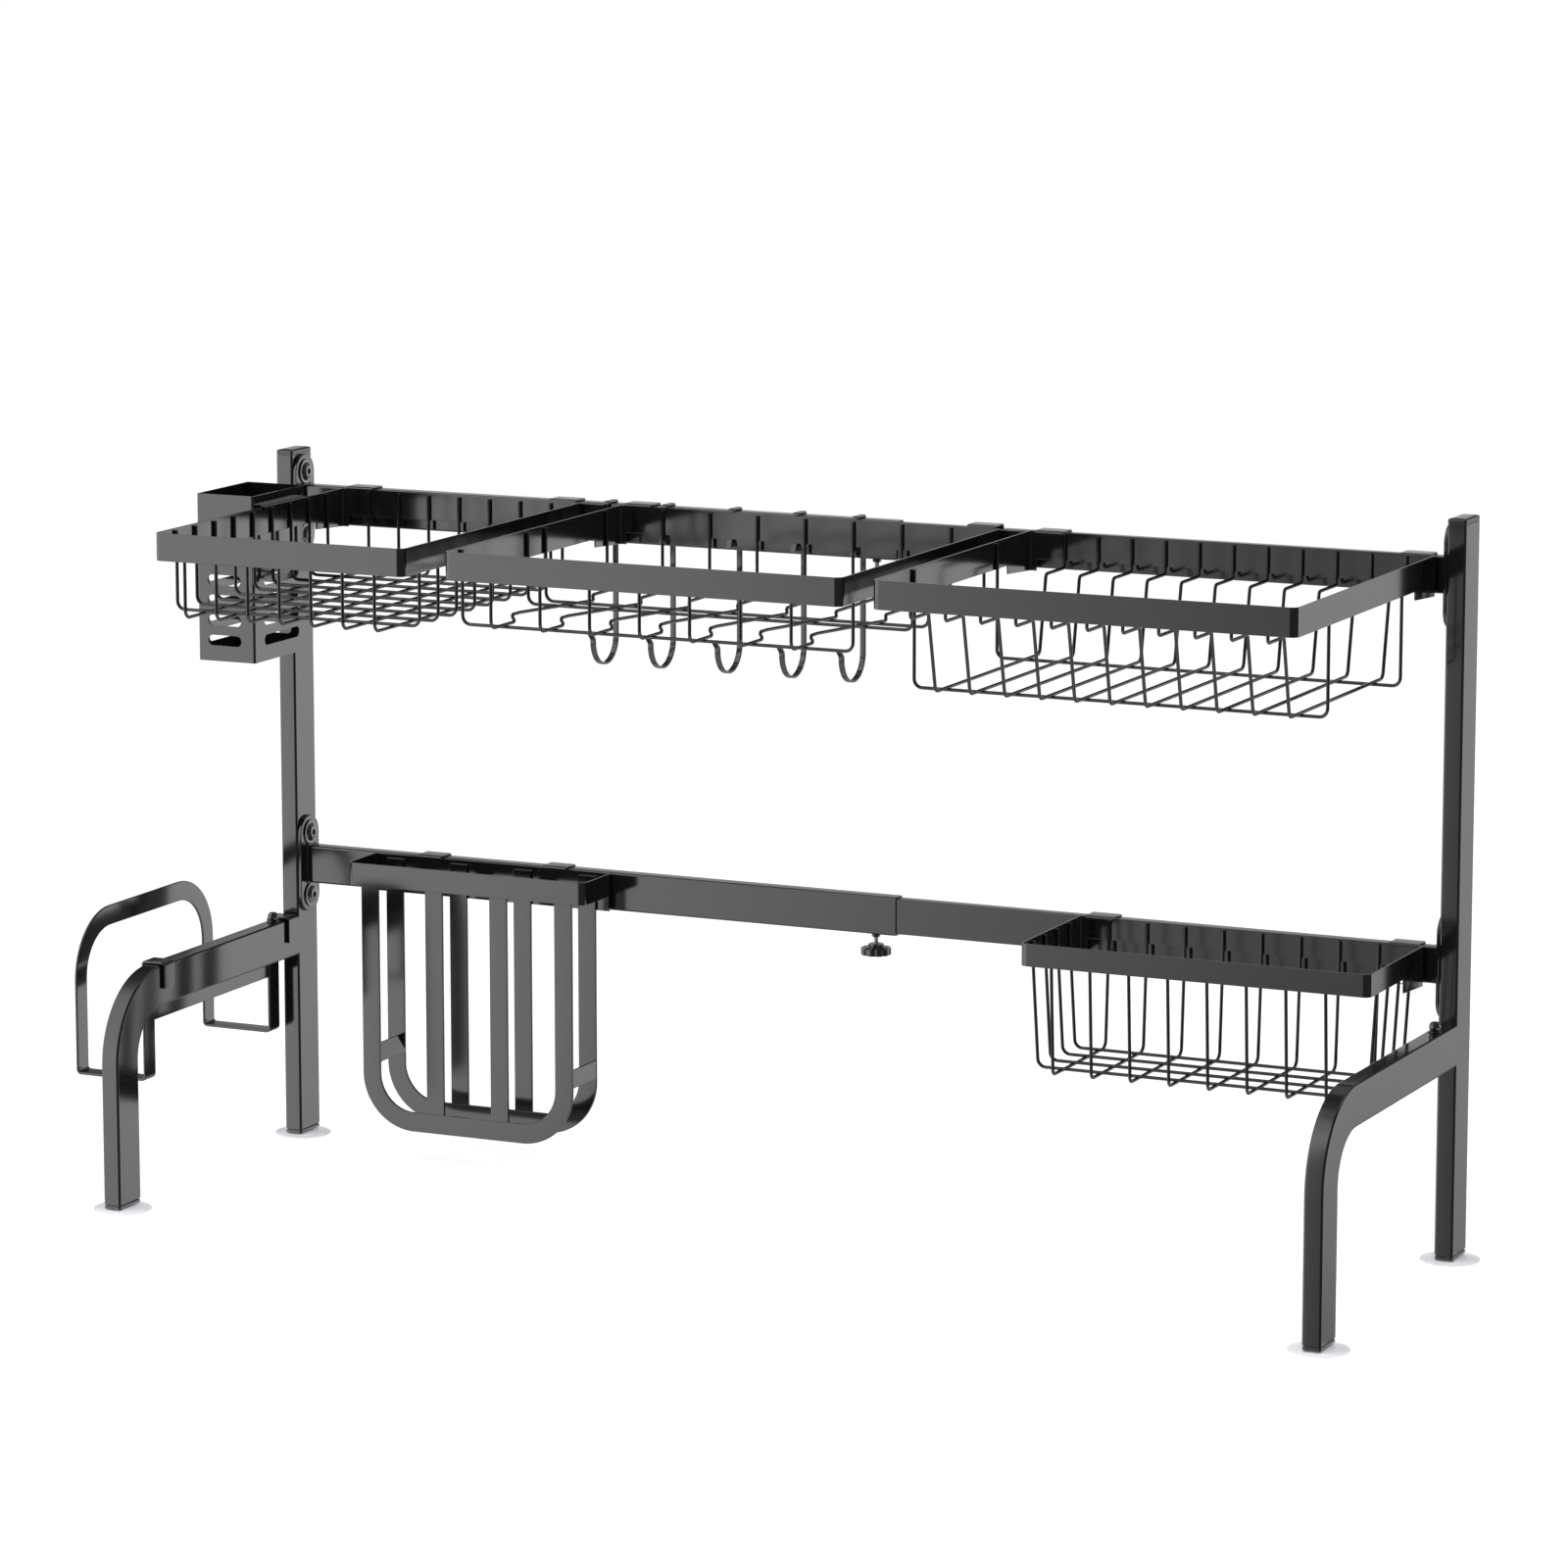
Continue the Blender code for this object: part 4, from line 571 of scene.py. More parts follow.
def eased_copy(node, width_mm, segments=2, cutters=()):
    """A CAD node's copy with its flat faces made whole, cut if need be, and its edges rounded."""
    item = frame["nodes"][node].copy()
    item.data = frame["nodes"][node].data.copy()
    item.parent = None
    bpy.context.scene.collection.objects.link(item)
    settle(item)
    bpy.ops.object.mode_set(mode="EDIT")
    bpy.ops.mesh.select_all(action="SELECT")
    bpy.ops.mesh.remove_doubles(threshold=0.005 * MM)
    bpy.ops.mesh.dissolve_limited(angle_limit=math.radians(0.5))
    bpy.ops.object.mode_set(mode="OBJECT")
    if cutters:
        cut(item, cutters)
    return soften(item, width_mm, segments)


def rounded_block(width_mm, depth_mm, corner_mm, low, height_mm):
    """A block with rounded upright edges, from its base's middle up."""
    outline = bar_outline(width_mm, depth_mm, corner_mm, low, Z_AXIS, X_AXIS, 5)
    return filled(swept(outline, [low, low + Z_AXIS * height_mm * MM], [0, 0]))


def turned(rings, place, axis=Z_AXIS, sides=48):
    """A turned solid: (radius, height) rings along an axis from a place, closed at both ends."""
    item = ring_outline(rings[0][0], place + axis * rings[0][1] * MM, axis, sides)
    bpy.ops.object.mode_set(mode="EDIT")
    bpy.ops.mesh.select_mode(type="EDGE")
    bpy.ops.mesh.select_all(action="SELECT")
    for (radius, height), (wider, higher) in zip(rings, rings[1:]):
        bpy.ops.mesh.extrude_region_move(TRANSFORM_OT_translate={"value": axis * (higher - height) * MM})
        centre = place + axis * higher * MM
        bpy.ops.transform.resize(value=(wider / radius,) * 3, center_override=centre)
    bpy.ops.object.mode_set(mode="OBJECT")
    return smooth(filled(item), 30)


def select_top(item):
    """Go into edit mode with only the highest face of an item selected."""
    take(item)
    bpy.ops.object.mode_set(mode="EDIT")
    bpy.ops.mesh.select_mode(type="FACE")
    bpy.ops.mesh.select_all(action="DESELECT")
    bpy.ops.object.mode_set(mode="OBJECT")
    top = max(item.data.polygons, key=lambda face: face.center.z)
    top.select = True
    bpy.ops.object.mode_set(mode="EDIT")


def turn_out(item, middle):
    """Leave a hollow shell's faces as the wall made them, but check that the outside faces out."""
    face = max(item.data.polygons, key=lambda entry: (entry.center - middle).length)
    if face.normal.dot(face.center - middle) < 0:
        take(item)
        bpy.ops.object.mode_set(mode="EDIT")
        bpy.ops.mesh.select_all(action="SELECT")
        bpy.ops.mesh.flip_normals()
        bpy.ops.object.mode_set(mode="OBJECT")


# Side frames

# The cap's neck, lip and lid as heights over the tube's end, and the lid's steps inwards and up
CAP_NECK_INSET, CAP_NECK_CORNER, CAP_NECK_LOW, CAP_NECK_HEIGHT = 0.6, 1.2, -4, 5.9
CAP_LIP_LOW, CAP_LIP_HEIGHT, CAP_LIP_EDGE = 0.5, 1.3, 0.3
CAP_LID_LOW, CAP_LID_HEIGHT = 1.9, 1.2
CAP_CROWN = ((0.12, 0.3), (0.25, 0.3), (0.4, 0.25), (0.7, 0.25), (1.2, 0.2), (1.6, 0.1))

PLUG_DRAFT = 0.3
PLUG_NECK_CORNER, PLUG_NECK_SINK, PLUG_NECK_HEIGHT = 0.8, 2, 6
PLUG_RIM_LOW, PLUG_RIM_HEIGHT, PLUG_RIM_EDGE = 2.55, 2.55, 0.65

# Turned profiles, as (radius, height)
CUP_RINGS = [(5, 1.3), (12, 1.0), (18, 0.35), (20.6, 0.02), (21.3, 0.05), (21.5, 0.35), (21.3, 0.7),
             (20.6, 0.85), (18, 1.1), (13.5, 1.75), (12, 2.15), (11.2, 2.2)]
FLANGE_HEAD = [(6.9, 0), (6.9, 0.4), (6.4, 0.85), (5.6, 1.35), (4.6, 1.8), (3.7, 2.05), (3.2, 2.1)]
LEG_HEAD = [(3.1, 0), (3.7, 0.8), (4.1, 2), (4.15, 3.2), (3.9, 4.5), (3.3, 5.7), (2.7, 6.3), (2.4, 6.45)]

# A washer's radius and thickness, the hex socket's radius, and where the socket's floor lies in the head
FLANGE_WASHER, FLANGE_SOCKET = (9.4, 1.2), 2.6
LEG_WASHER, LEG_SOCKET = (4.8, 0.9), 2
WASHER_LOWER_EDGE, WASHER_EDGE = 0.35, 0.3
SOCKET_FLOOR = 0.4

FLANGE_SCREW_REACH = 24.4
LEG_SCREW_Y = -27
FLANGE_LENGTH, FLANGE_WIDTH, FLANGE_CORNER, FLANGE_THICKNESS, FLANGE_EDGE = 74.8, 28, 13.7, 2.75, 0.5


def build_tubes():
    for side in ("left", "right"):
        x = side_x(side, TUBE_WIDTH / 2)
        post = hollow_tube(TUBE_WIDTH, TUBE_DEPTH, TUBE_CORNER, TUBE_WALL,
                           [spot(x, TUBE_MIDDLE, POST_LOW), spot(x, TUBE_MIDDLE, POST_HIGH)], [0, 0], X_AXIS)
        done(post, side + "_upright_tube", PAINT, side + "_upright")
        corners = [spot(x, ARM_START, ARM_AXIS), spot(x, LEG_Y, ARM_AXIS), spot(x, LEG_Y, POST_LOW)]
        leg = hollow_tube(TUBE_WIDTH, TUBE_DEPTH, TUBE_CORNER, TUBE_WALL, corners, [0, LEG_BEND, 0], X_AXIS)
        done(leg, side + "_leg_tube", PAINT, side + "_leg")


def build_cap(side):
    """A crowned end cap: a thin shadow line over the tube, a lip, a second line, and a soft cushion top."""
    x = side_x(side, TUBE_WIDTH / 2)
    neck = rounded_block(TUBE_WIDTH - 2 * CAP_NECK_INSET, TUBE_DEPTH - 2 * CAP_NECK_INSET, CAP_NECK_CORNER,
                         spot(x, TUBE_MIDDLE, POST_HIGH + CAP_NECK_LOW), CAP_NECK_HEIGHT)
    lip = rounded_block(TUBE_WIDTH, TUBE_DEPTH, TUBE_CORNER,
                        spot(x, TUBE_MIDDLE, POST_HIGH + CAP_LIP_LOW), CAP_LIP_HEIGHT)
    soften(lip, CAP_LIP_EDGE, 3)
    lid = rounded_block(TUBE_WIDTH, TUBE_DEPTH, TUBE_CORNER,
                        spot(x, TUBE_MIDDLE, POST_HIGH + CAP_LID_LOW), CAP_LID_HEIGHT)
    select_top(lid)
    wide, deep = TUBE_WIDTH, TUBE_DEPTH
    for inset_mm, rise_mm in CAP_CROWN:
        bpy.ops.mesh.extrude_region_move(TRANSFORM_OT_translate={"value": (0, 0, rise_mm * MM)})
        bpy.ops.transform.resize(value=((wide - 2 * inset_mm) / wide, (deep - 2 * inset_mm) / deep, 1),
                                 center_override=spot(x, TUBE_MIDDLE, 0))
        wide, deep = wide - 2 * inset_mm, deep - 2 * inset_mm
    bpy.ops.object.mode_set(mode="OBJECT")
    smooth(lid, 50)
    smooth(neck, 35)
    done(joined([lid, lip, neck]), side + "_crowned_cap", PLASTIC, side + "_top_cap")


def build_plug(side, end, y):
    """A foot plug with a shadow line under the tube, drafted so that its rim catches the light."""
    x = side_x(side, TUBE_WIDTH / 2)
    neck = rounded_block(TUBE_WIDTH - 2 * TUBE_WALL, TUBE_DEPTH - 2 * TUBE_WALL, PLUG_NECK_CORNER,
                         spot(x, y, POST_LOW - PLUG_NECK_SINK), PLUG_NECK_HEIGHT)
    rim = rounded_block(TUBE_WIDTH, TUBE_DEPTH, TUBE_CORNER, spot(x, y, PLUG_RIM_LOW), PLUG_RIM_HEIGHT)
    select_top(rim)
    draft = 2 * PLUG_DRAFT
    bpy.ops.transform.resize(value=((TUBE_WIDTH - draft) / TUBE_WIDTH, (TUBE_DEPTH - draft) / TUBE_DEPTH, 1),
                             center_override=spot(x, y, 0))
    bpy.ops.object.mode_set(mode="OBJECT")
    soften(rim, PLUG_RIM_EDGE, 4)
    smooth(neck, 35)
    done(joined([rim, neck]), side + "_" + end + "_plug", PLASTIC, side + "_" + end + "_foot_plug")


def build_foot(side, end, y):
    """A thin suction cup: a flat skirt with a rolled rim, hollow underneath."""
    foot = turned(CUP_RINGS, spot(side_x(side, TUBE_WIDTH / 2), y, 0), sides=64)
    done(foot, side + "_" + end + "_suction_cup", RUBBER, side + "_" + end + "_suction_foot")


def screw_head(place, axis, washer, profile, socket_mm):
    """A screw head of (radius, height) rings with a hex socket, on a chamfered washer."""
    wide, thick = washer
    disc = turned([(wide - WASHER_LOWER_EDGE, 0), (wide, WASHER_EDGE), (wide, thick - WASHER_EDGE),
                   (wide - WASHER_EDGE, thick)], place, axis)
    head = turned(profile, place + axis * thick * MM, axis)
    top = profile[-1][1]
    socket = ring_outline(socket_mm, place + axis * (thick + top * SOCKET_FLOOR) * MM, axis, 6)
    socket = filled(swept(socket, [place, place + axis * top * MM], [0, 0]))
    head = smooth(cut(head, [socket]), 30)
    return joined([head, disc])


def build_fasteners():
    for side in ("left", "right"):
        for tier, height in BEAM_AXES.items():
            for end, offset in (("top", FLANGE_SCREW_REACH), ("bottom", -FLANGE_SCREW_REACH)):
                place = spot(side_x(side, FLANGE_FACE), MOUNT_Y, height + offset)
                head = screw_head(place, inward_axis(side), FLANGE_WASHER, FLANGE_HEAD, FLANGE_SOCKET)
                done(head, "%s_%s_flange_screw_%s" % (side, tier, end), OXIDE,
                     "%s_%s_flange_bolt_%s" % (side, tier, end))
        place = spot(side_x(side, TUBE_WIDTH / 2), LEG_SCREW_Y, ARM_AXIS + TUBE_DEPTH / 2)
        head = screw_head(place, Z_AXIS, LEG_WASHER, LEG_HEAD, LEG_SOCKET)
        done(head, side + "_leg_screw", OXIDE, side + "_leg_bolt")


def build_flange_plates():
    for side in ("left", "right"):
        inward = inward_axis(side)
        for tier, height in BEAM_AXES.items():
            base = spot(side_x(side, TUBE_WIDTH), MOUNT_Y, height)
            outline = bar_outline(FLANGE_LENGTH, FLANGE_WIDTH, FLANGE_CORNER, base, inward, Z_AXIS, 12)
            plate = filled(swept(outline, [base, base + inward * FLANGE_THICKNESS * MM], [0, 0]))
            soften(plate, FLANGE_EDGE, 3, 40)
            done(plate, "%s_%s_flange_plate" % (side, tier), PAINT, "%s_%s_flange" % (side, tier))


# Beams and clamping screws

OUTER_BEAM_ENDS = 17.1, 511.6
INNER_BEAM_ENDS = 932.9, 380.9
INNER_STEP, INNER_CORNER = 1.25, 1.1    # the inner tube lies that far inside the outer one's faces

BEAD_RADIUS, BEAD_STANDOFF = 1.1, 0.2
RIPPLE_DEPTH, RIPPLE_LENGTH = 0.35, 1.5

# The clamp's nut, by heights over the beam's underside, and its thread
NUT_RINGS = ((2.9, -2.6), (3.3, -2.3), (3.3, 0))
NUT_EDGE = 0.25
THREAD_PITCH = 0.7
THREAD_RINGS = ((1.6, 0), (1.75, 0.12), (1.75, 0.56))
STUD_IN_BEAM, STUD_IN_KNOB = 0.8, 7.7
KNOB_DROP, BOSS_HEIGHT = 7.7, 3
# Grip, step and boss: radius, low side from the boss's foot, height, the scoops' radius, place and
# number, and the rounded edge
KNOB_DISCS = ((11.2, -5, 5, 2.2, 12.6, 10, 0.8), (8.4, -0.4, 1.2, 1.8, 9.4, 10, 0.4),
              (5.6, 0, BOSS_HEIGHT, 1.3, 6.3, 6, 0.5))


def weld_bead(tier, side):
    """A fillet weld round the beam's end on its flange."""
    drop = 0 if side == "left" else INNER_STEP
    place = spot(side_x(side, FLANGE_FACE + BEAD_STANDOFF), BEAM_Y, BEAM_AXES[tier])
    outline = bar_outline(BEAM_WIDTH - 2 * drop + BEAD_STANDOFF, BEAM_HEIGHT - 2 * drop + BEAD_STANDOFF,
                          TUBE_CORNER, place, inward_axis(side), Y_AXIS, 5)
    take(outline)
    bpy.ops.object.convert(target="CURVE")
    bead = bpy.context.object
    bead.data.bevel_depth = BEAD_RADIUS * MM
    bead.data.bevel_resolution = 3
    bpy.ops.object.convert(target="MESH")
    bead = outward(bpy.context.object)
    ripple = bead.modifiers.new("ripple", "DISPLACE")
    ripple.strength = RIPPLE_DEPTH * MM
    ripple.mid_level = 0.5
    texture = bpy.data.textures.new("weld_ripple", "CLOUDS")
    texture.noise_scale = RIPPLE_LENGTH * MM
    ripple.texture = texture
    ripple.texture_coords = "LOCAL"
    apply_modifiers(bead)
    return smooth(bead, 60)


def build_beams():
    for tier, height in BEAM_AXES.items():
        ends = [spot(x, BEAM_Y, height) for x in OUTER_BEAM_ENDS]
        outer = hollow_tube(BEAM_WIDTH, BEAM_HEIGHT, TUBE_CORNER, BEAM_WALL, ends, [0, 0], Y_AXIS)
        done(joined([outer, weld_bead(tier, "left")]), tier + "_outer_tube", PAINT, tier + "_outer_beam")
        ends = [spot(x, BEAM_Y, height) for x in INNER_BEAM_ENDS]
        inner = hollow_tube(BEAM_WIDTH - 2 * INNER_STEP, BEAM_HEIGHT - 2 * INNER_STEP, INNER_CORNER,
                            BEAM_WALL, ends, [0, 0], Y_AXIS)
        done(joined([inner, weld_bead(tier, "right")]), tier + "_inner_tube", PAINT, tier + "_inner_beam")


def lobed_disc(radius_mm, low_mm, height_mm, bite_mm, bite_place_mm, lobes, edge_mm, centre):
    """A disc with scoops taken out of its edge."""
    disc = turned([(radius_mm, low_mm), (radius_mm, low_mm + height_mm)], centre, sides=96)
    cutters = []
    for index in range(lobes):
        angle = 2 * math.pi * index / lobes
        place = centre + Vector((math.cos(angle), math.sin(angle), 0)) * bite_place_mm * MM
        cutters.append(turned([(bite_mm, low_mm - 1), (bite_mm, low_mm + height_mm + 1)], place, sides=24))
    return soften(cut(disc, cutters), edge_mm, 3, 40)


def build_clamps():
    for tier, height in BEAM_AXES.items():
        low = height - BEAM_HEIGHT / 2
        centre = spot(SCREW_X, MOUNT_Y, 0)
        nut = turned([(radius, low + rise) for radius, rise in NUT_RINGS], centre, sides=6)
        done(soften(nut, NUT_EDGE, 2, 25), tier + "_weld_nut", PAINT, tier + "_clamp_nut")
        knob_top = low - KNOB_DROP
        rings = []
        level = knob_top - STUD_IN_KNOB
        while level < low + STUD_IN_BEAM:
            rings += [(radius, level + rise) for radius, rise in THREAD_RINGS]
            level += THREAD_PITCH
        stud = turned(rings, centre, sides=24)
        done(stud, tier + "_threaded_stud", ZINC, tier + "_clamp_stud")
        boss_foot = knob_top - BOSS_HEIGHT
        discs = [lobed_disc(radius, boss_foot + rise, *shape, centre) for radius, rise, *shape in KNOB_DISCS]
        done(joined(discs), tier + "_lobed_knob", PLASTIC, tier + "_clamp_knob")


# Baskets

# Each rim's left and right faces, its top and the height of its band
RIM_SPANS = {"left": (52.6, 255.8, 506.8, 20.3), "middle": (287.6, 595.2, 506.8, 20.3),
             "right": (617.5, 925.8, 506.8, 20.3), "lower": (659, 922.3, 227.8, 16.4)}
RIM_BACK, RIM_BACK_MIDDLE = 7.45, 7
BARE_CORNER, BARE_DEPTH, BARE_HEIGHT = 6, 3, 12     # what the rim's back leaves bare of the beam
RIM_EDGE = 0.3

INSET = 2.35        # from a band's outer face to the wires' axes
CROSSING = 1.87     # between the axes of two wires that are welded across each other
BACK = RIM_BACK - INSET
UPPER_FRONT = -270.8 + INSET
LOWER_FRONT = -105.5 + INSET
UPPER_TOP, LOWER_TOP = 505.3, 226.3
U_BENDS = [0, 6, 6, 0]

# Columns are the first and last wire that runs to the back and their number; rows are the places in
# depth of the wires that cross them.
LEFT_FLOOR = 446
LEFT_COLUMNS = (76.6, 231.22, 7)
LEFT_ROWS = [-19.3 - 27.9 * index for index in range(9)]

# The middle floor's corners from front to back: it falls gently between two small steps up
STEPPED_FLOOR = [(-230.5, 454.2), (-238.5, 459.9), (-225, 459.9), (-107.5, 452.9), (-110.9, 457.3)]
STEPPED_BENDS = [0, 6, 1.3, 1.3, 40, 1.3, 1.3, 6, 0]
MIDDLE_COLUMNS = (324.2, 556.4, 7)
MIDDLE_ROWS = [-246, -145, -117, -18]

# The right wires come down to a ledge, lean inwards and cross the floor
RIGHT_LEDGE, RIGHT_FLOOR = 481.5, 425.1
RIGHT_SLOPE_FRONT, RIGHT_SLOPE_BACK = (-238, -225.3), (-29.3, -40.2)
RIGHT_BENDS = [0, 3, 3, 5, 5, 3, 3, 0]
RIGHT_COLUMNS = (645.8, 904.5, 11)
RIGHT_ROWS = [-203, -57]

LOWER_FLOOR, LOWER_LEAN = 133.2, 4.5
LOWER_BENDS_ALONG, LOWER_BENDS_ACROSS = [0, 12, 4, 6, 12, 0], [0, 12, 6, 6, 12, 0]
LOWER_COLUMNS = (682.8, 888.95, 8)
LOWER_ROWS = [-16.2 - 23.1 * index for index in range(4)]


def between(start, stop, count):
    return [start + (stop - start) * index / (count - 1) for index in range(count)]


def wires_along_y(points, bends, places):
    """One wire bent in a front-to-back plane, copied across; points are (y, z)."""
    first = bent_wire([spot(places[0], y, z) for y, z in points], bends)
    copies = [copy_of(first, X_AXIS * (place - places[0]) * MM, "wire") for place in places[1:]]
    return [first] + copies


def wires_along_x(points, bends, places, levels=None):
    """One wire bent in a left-to-right plane, copied to its places in depth; points are (x, z). With
    levels each wire is bent anew, and its floor lies at its own level."""
    items = []
    for index, place in enumerate(places):
        if index and not levels:
            items.append(copy_of(items[0], Y_AXIS * (place - places[0]) * MM, "wire"))
            continue
        sink = levels[index] - levels[0] if levels else 0
        corners = [spot(x, place, z + (sink if 0 < number < len(points) - 1 else 0))
                   for number, (x, z) in enumerate(points)]
        items.append(bent_wire(corners, bends))
    return items


def wire_span(name):
    """The x of a basket's outermost wires."""
    left, right = RIM_SPANS[name][:2]
    return left + INSET, right - INSET


def plain_u(start, stop, top, floor):
    return [(start, top), (start, floor), (stop, floor), (stop, top)]


def leaning_u(start, stop, top, shoulder, floor):
    """A U whose sides lean inwards below the shoulder."""
    return [(start, top), (start, shoulder), (start + LOWER_LEAN, floor), (stop - LOWER_LEAN, floor),
            (stop, shoulder), (stop, top)]


def height_at(corners, place):
    """The floor's height at a place on its long straight runs."""
    for (start, low), (stop, high) in zip(corners, corners[1:]):
        if start < place < stop:
            return low + (high - low) * (place - start) / (stop - start)
    raise ValueError("the place lies outside the floor")


def left_wires():
    along = plain_u(UPPER_FRONT, BACK, UPPER_TOP, LEFT_FLOOR)
    across = plain_u(*wire_span("left"), UPPER_TOP, LEFT_FLOOR + CROSSING)
    return (wires_along_y(along, U_BENDS, between(*LEFT_COLUMNS))
            + wires_along_x(across, U_BENDS, LEFT_ROWS))


def middle_wires():
    """The wires that keep glasses apart step up twice, and the crossing ones lie under them."""
    along = ([(UPPER_FRONT, UPPER_TOP), (UPPER_FRONT, STEPPED_FLOOR[0][1])] + STEPPED_FLOOR
             + [(BACK, STEPPED_FLOOR[-1][1]), (BACK, UPPER_TOP)])
    levels = [height_at(along[1:-1], place) - CROSSING for place in MIDDLE_ROWS]
    across = plain_u(*wire_span("middle"), UPPER_TOP, levels[0])
    return (wires_along_y(along, STEPPED_BENDS, between(*MIDDLE_COLUMNS))
            + wires_along_x(across, U_BENDS, MIDDLE_ROWS, levels))


def right_wires():
    along = [(UPPER_FRONT, UPPER_TOP), (UPPER_FRONT, RIGHT_LEDGE), (RIGHT_SLOPE_FRONT[0], RIGHT_LEDGE),
             (RIGHT_SLOPE_FRONT[1], RIGHT_FLOOR), (RIGHT_SLOPE_BACK[1], RIGHT_FLOOR),
             (RIGHT_SLOPE_BACK[0], RIGHT_LEDGE), (BACK, RIGHT_LEDGE), (BACK, UPPER_TOP)]
    across = plain_u(*wire_span("right"), UPPER_TOP, RIGHT_FLOOR - CROSSING)
    return (wires_along_y(along, RIGHT_BENDS, between(*RIGHT_COLUMNS))
            + wires_along_x(across, U_BENDS, RIGHT_ROWS))


def lower_wires():
    top, height = RIM_SPANS["lower"][2:]
    shoulder = top - height
    along = leaning_u(LOWER_FRONT, BACK, LOWER_TOP, shoulder, LOWER_FLOOR)
    across = leaning_u(*wire_span("lower"), LOWER_TOP, shoulder, LOWER_FLOOR + CROSSING)
    return (wires_along_y(along, LOWER_BENDS_ALONG, between(*LOWER_COLUMNS))
            + wires_along_x(across, LOWER_BENDS_ACROSS, LOWER_ROWS))


def build_wires():
    for name, wires in (("left", left_wires), ("middle", middle_wires), ("right", right_wires),
                        ("lower", lower_wires)):
        done(joined(wires()), name + "_basket_wirework", WIRE_PAINT, name + "_basket_wires")


def build_rims():
    """The bands; behind, between the corners, they end level with the front and leave the beam bare."""
    for name, (left, right, top, height) in RIM_SPANS.items():
        place = spot((left + right) / 2, RIM_BACK_MIDDLE, top - height - BARE_HEIGHT / 2)
        bpy.ops.mesh.primitive_cube_add(size=1, location=place)
        cutter = bpy.context.object
        cutter.scale = ((right - left - 2 * BARE_CORNER) * MM, BARE_DEPTH * MM, BARE_HEIGHT * MM)
        rim = eased_copy(name + "_basket_rim", RIM_EDGE, 2, [settle(cutter)])
        done(rim, name + "_basket_band", PAINT, name + "_basket_rim")
    done(eased_copy("board_holder_rim", RIM_EDGE), "board_holder_band", PAINT, "board_holder_rim")


# Board holder, utensil box, side rack and hooks

SLAT = 15                               # width of the flat bar of the board holder and the side rack
SLAT_CORNER, RACK_CORNER = 0.5, 0.6
SLAT_PITCH, SLAT_JOINT = 54.6, 0.05
CRADLE_X, CRADLE_TOP, CRADLE_LOW, CRADLE_BEND = 178.2, 224.8, 23.5, 35.5
CRADLE_FACES = (-35.5, 3.95)            # the front faces of the two U-bent bars
STRAP, STRAP_FRONT, STRAP_BACK = 14.2, -34.5, 4.95
# Each strap's side, its shift from the bar's right edge there, its low edge and its lean
STRAPS = ((-1, 2.6, 74.6, -0.32), (1, 1.3, 69.4, 0))

BOX_X, BOX_Y, BOX_LOW, BOX_HIGH = 25, -83.4, 390, 515
BOX_WIDTH, BOX_DEPTH, BOX_CORNER, BOX_SHEET, BOX_EDGE = 48, 76, 1.6, 1, 0.22
SLOT_LEVELS = (405.6, 420.7, 435.8, 450.9)
SLOT_HEIGHT, SLOT_ROUNDING = 8, 0.2
FRONT_SLOT, FRONT_SLOT_X, FRONT_CUT = 28, -1.6, 90      # a slot's length, shift and the cutter's depth
SIDE_SLOT, SIDE_SLOT_Y, SIDE_CUT = 52, 2.9, 60
BOX_LIP = [(48.2, 507.6), (54.6, 507.6), (54.6, 504.7)]
BOX_LIP_WIDTH, BOX_LIP_BEND = 62, 0.9

HOOK_PLACES = (276.3, 323.9, 378.7, 431.0, 478.9)
HOOK_WIDTH, HOOK_THICKNESS, HOOK_CORNER = 4.5, 1.6, 0.4


def build_cradles():
    """Two U-bent flat bars with two slats each, joined by flat straps."""
    reach = SLAT_PITCH * 1.5
    bar_axis = CRADLE_LOW + SLAT / 2
    items = []
    for face in CRADLE_FACES:
        y = face + BAR / 2
        corners = [spot(CRADLE_X - reach, y, CRADLE_TOP), spot(CRADLE_X - reach, y, bar_axis),
                   spot(CRADLE_X + reach, y, bar_axis), spot(CRADLE_X + reach, y, CRADLE_TOP)]
        bends = [0, CRADLE_BEND, CRADLE_BEND, 0]
        items.append(solid_bar(SLAT, BAR, SLAT_CORNER, corners, bends, X_AXIS, 24, 3))
        for x in (CRADLE_X - SLAT_PITCH / 2, CRADLE_X + SLAT_PITCH / 2):
            ends = [spot(x, y, CRADLE_TOP), spot(x, y, CRADLE_LOW + SLAT + SLAT_JOINT)]
            items.append(solid_bar(SLAT, BAR, SLAT_CORNER, ends, [0, 0], X_AXIS, 1, 3))
    for sign, shift, level, lean in STRAPS:
        x = CRADLE_X + sign * reach + SLAT / 2 - shift
        ends = [spot(x, STRAP_FRONT, level + STRAP / 2), spot(x, STRAP_BACK, level + STRAP / 2)]
        items.append(solid_bar(STRAP, BAR, SLAT_CORNER, ends, [0, 0], Vector((lean, 0, 1)), 1, 3))
    done(joined(items), "board_holder_slats", PAINT, "board_holder_cradles")


def capsule_cutter(length_mm, place, along, through):
    """A long rounded slot as a solid, for cutting; it lies across `through`."""
    start = place - through * 0.5
    outline = bar_outline(length_mm, SLOT_HEIGHT, SLOT_HEIGHT / 2 - SLOT_ROUNDING, start, through, along, 8)
    return filled(swept(outline, [start, start + through], [0, 0]))


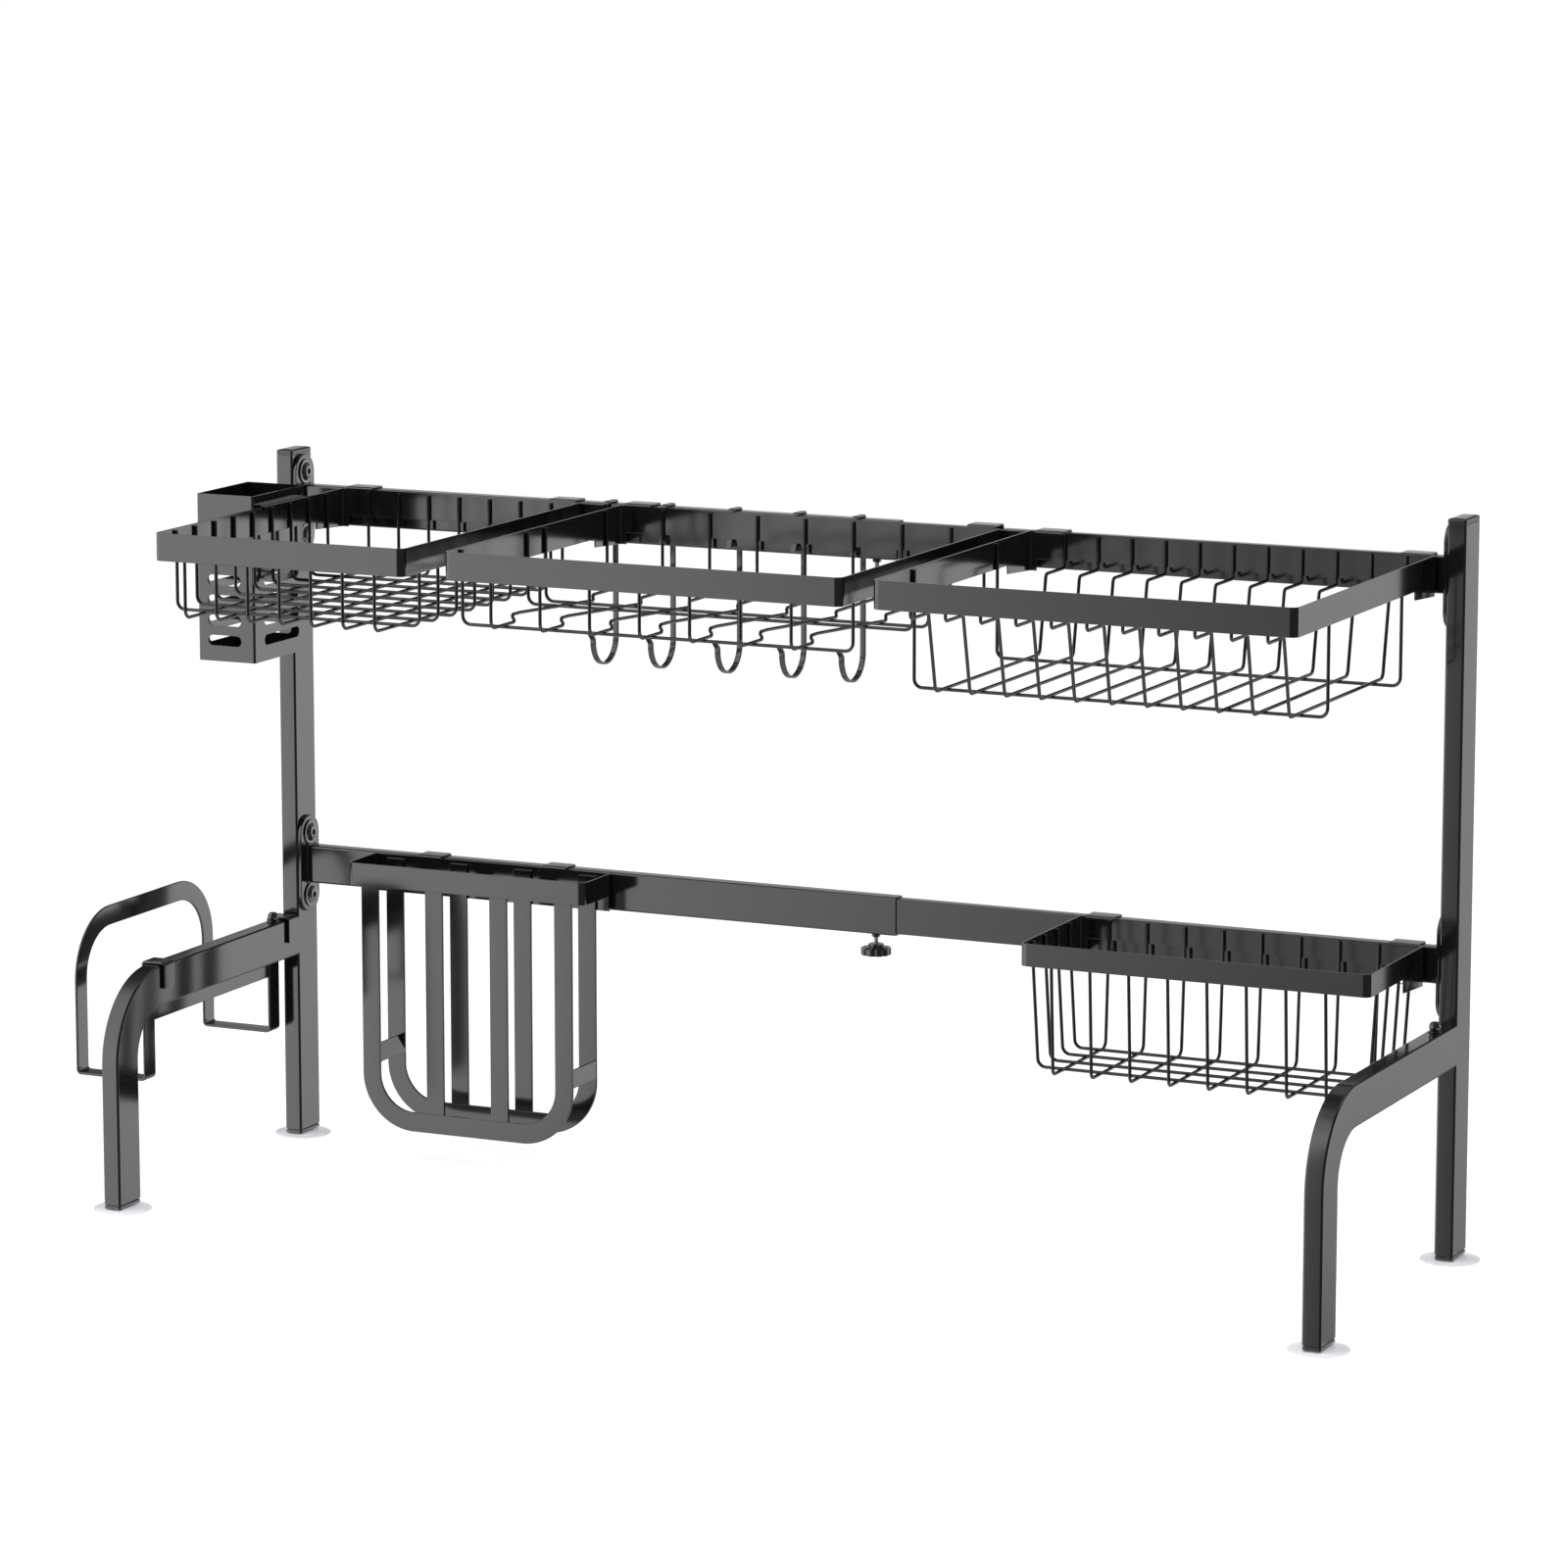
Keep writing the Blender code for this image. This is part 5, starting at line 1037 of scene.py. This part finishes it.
def build_box():
    """The utensil box, folded of thin sheet, with four rows of rounded slots all round and a hanging lip."""
    low, high = spot(BOX_X, BOX_Y, BOX_LOW), spot(BOX_X, BOX_Y, BOX_HIGH)
    outline = bar_outline(BOX_WIDTH, BOX_DEPTH, BOX_CORNER, low, Z_AXIS, X_AXIS, 5)
    shell = take(swept(outline, [low, high], [0, 0]))
    bpy.ops.object.mode_set(mode="EDIT")
    bpy.ops.mesh.select_all(action="DESELECT")
    bpy.ops.mesh.select_mode(type="VERT")
    bpy.ops.object.mode_set(mode="OBJECT")
    for vertex in shell.data.vertices:
        vertex.select = vertex.co.z < (BOX_LOW + 1) * MM
    bpy.ops.object.mode_set(mode="EDIT")
    bpy.ops.mesh.edge_face_add()
    bpy.ops.object.mode_set(mode="OBJECT")
    outward(shell)
    wall = shell.modifiers.new("wall", "SOLIDIFY")
    wall.thickness = BOX_SHEET * MM
    wall.offset = -1
    apply_modifiers(shell)
    turn_out(shell, (low + high) / 2)
    cutters = []
    for level in SLOT_LEVELS:
        front = spot(BOX_X + FRONT_SLOT_X, BOX_Y, level)
        cutters.append(capsule_cutter(FRONT_SLOT, front, X_AXIS, Y_AXIS * FRONT_CUT * MM))
        flank = spot(BOX_X, BOX_Y + SIDE_SLOT_Y, level)
        cutters.append(capsule_cutter(SIDE_SLOT, flank, Y_AXIS, X_AXIS * SIDE_CUT * MM))
    for cutter in cutters:
        cut(shell, [cutter])
    soften(shell, BOX_EDGE, 2, 40)
    lip = solid_bar(BOX_LIP_WIDTH, BOX_SHEET, 0.3, [spot(x, BOX_Y, z) for x, z in BOX_LIP],
                    [0, BOX_LIP_BEND, 0], Y_AXIS, 6, 2)
    done(joined([shell, lip]), "slotted_utensil_box", PAINT, "utensil_box")


def build_side_rack():
    """One flat bar bent into an arch and two arm hooks, with a cross bar between its inner legs."""
    over, inner, outer = 15.4, -2.5, -60.5
    rear, front = -3.8 - SLAT / 2, -205.3 + SLAT / 2
    low, cross_height, lip, arm, arch = 85.5, 136, 156.5, 175.3, 204.5 - SLAT / 2
    tight, fold, sweep = 2, 3, 42.5
    path = [(over, front, lip), (over, front, arm), (inner, front, arm), (inner, front, low),
            (outer, front, low), (outer, front, arch), (outer, rear, arch), (outer, rear, low),
            (inner, rear, low), (inner, rear, arm), (over, rear, arm), (over, rear, lip)]
    bends = [0, tight, tight, fold, fold, sweep, sweep, fold, fold, tight, tight, 0]
    frame_bar = solid_bar(SLAT, BAR, RACK_CORNER, [spot(*place) for place in path], bends, Y_AXIS, 16, 3)
    joint = 0.1
    reach = SLAT / 2 - joint
    ends = [spot(inner, front + reach, cross_height), spot(inner, rear - reach, cross_height)]
    cross = solid_bar(SLAT, BAR - joint, RACK_CORNER, ends, [0, 0], Z_AXIS, 1, 3)
    done(joined([frame_bar, cross]), "side_rack_bar", PAINT, "side_rack")


def build_hooks():
    """Five hooks of narrow flat bar: a flared tip in front of the beam, over its top, and down behind it
    into a round curl whose end turns outwards."""
    tip, lip_y, back_y, level, bottom, radius = (4.9, 480.6), 8.6, 23.35, 508.1, 387.8, 19
    curl_y = back_y - 2 * radius
    path = [tip, (lip_y, 489), (lip_y, level), (back_y, level), (back_y, bottom), (curl_y, bottom),
            (curl_y, bottom + 20.6), (curl_y - 4.6, bottom + 25.2)]
    curl = radius - 0.01
    for number, x in enumerate(HOOK_PLACES, 1):
        hook = solid_bar(HOOK_WIDTH, HOOK_THICKNESS, HOOK_CORNER, [spot(x, y, z) for y, z in path],
                         [0, 4, 1.6, 1.6, curl, curl, 2.5, 0], X_AXIS, 16, 2)
        done(hook, "s_hook_" + str(number), PAINT, "hook_" + str(number))


# The whole rack

set_camera()
set_world()
lay_floor()
add_lamps()

build_tubes()
for side in ("left", "right"):
    build_cap(side)
    for end, y in (("rear", TUBE_MIDDLE), ("front", LEG_Y)):
        build_plug(side, end, y)
        build_foot(side, end, y)
    for slot in frame["nodes"][side + "_leg_spigot"].material_slots:
        slot.material = PAINT
build_fasteners()
build_flange_plates()
build_beams()
build_clamps()
build_wires()
build_rims()
build_cradles()
build_box()
build_side_rack()
build_hooks()
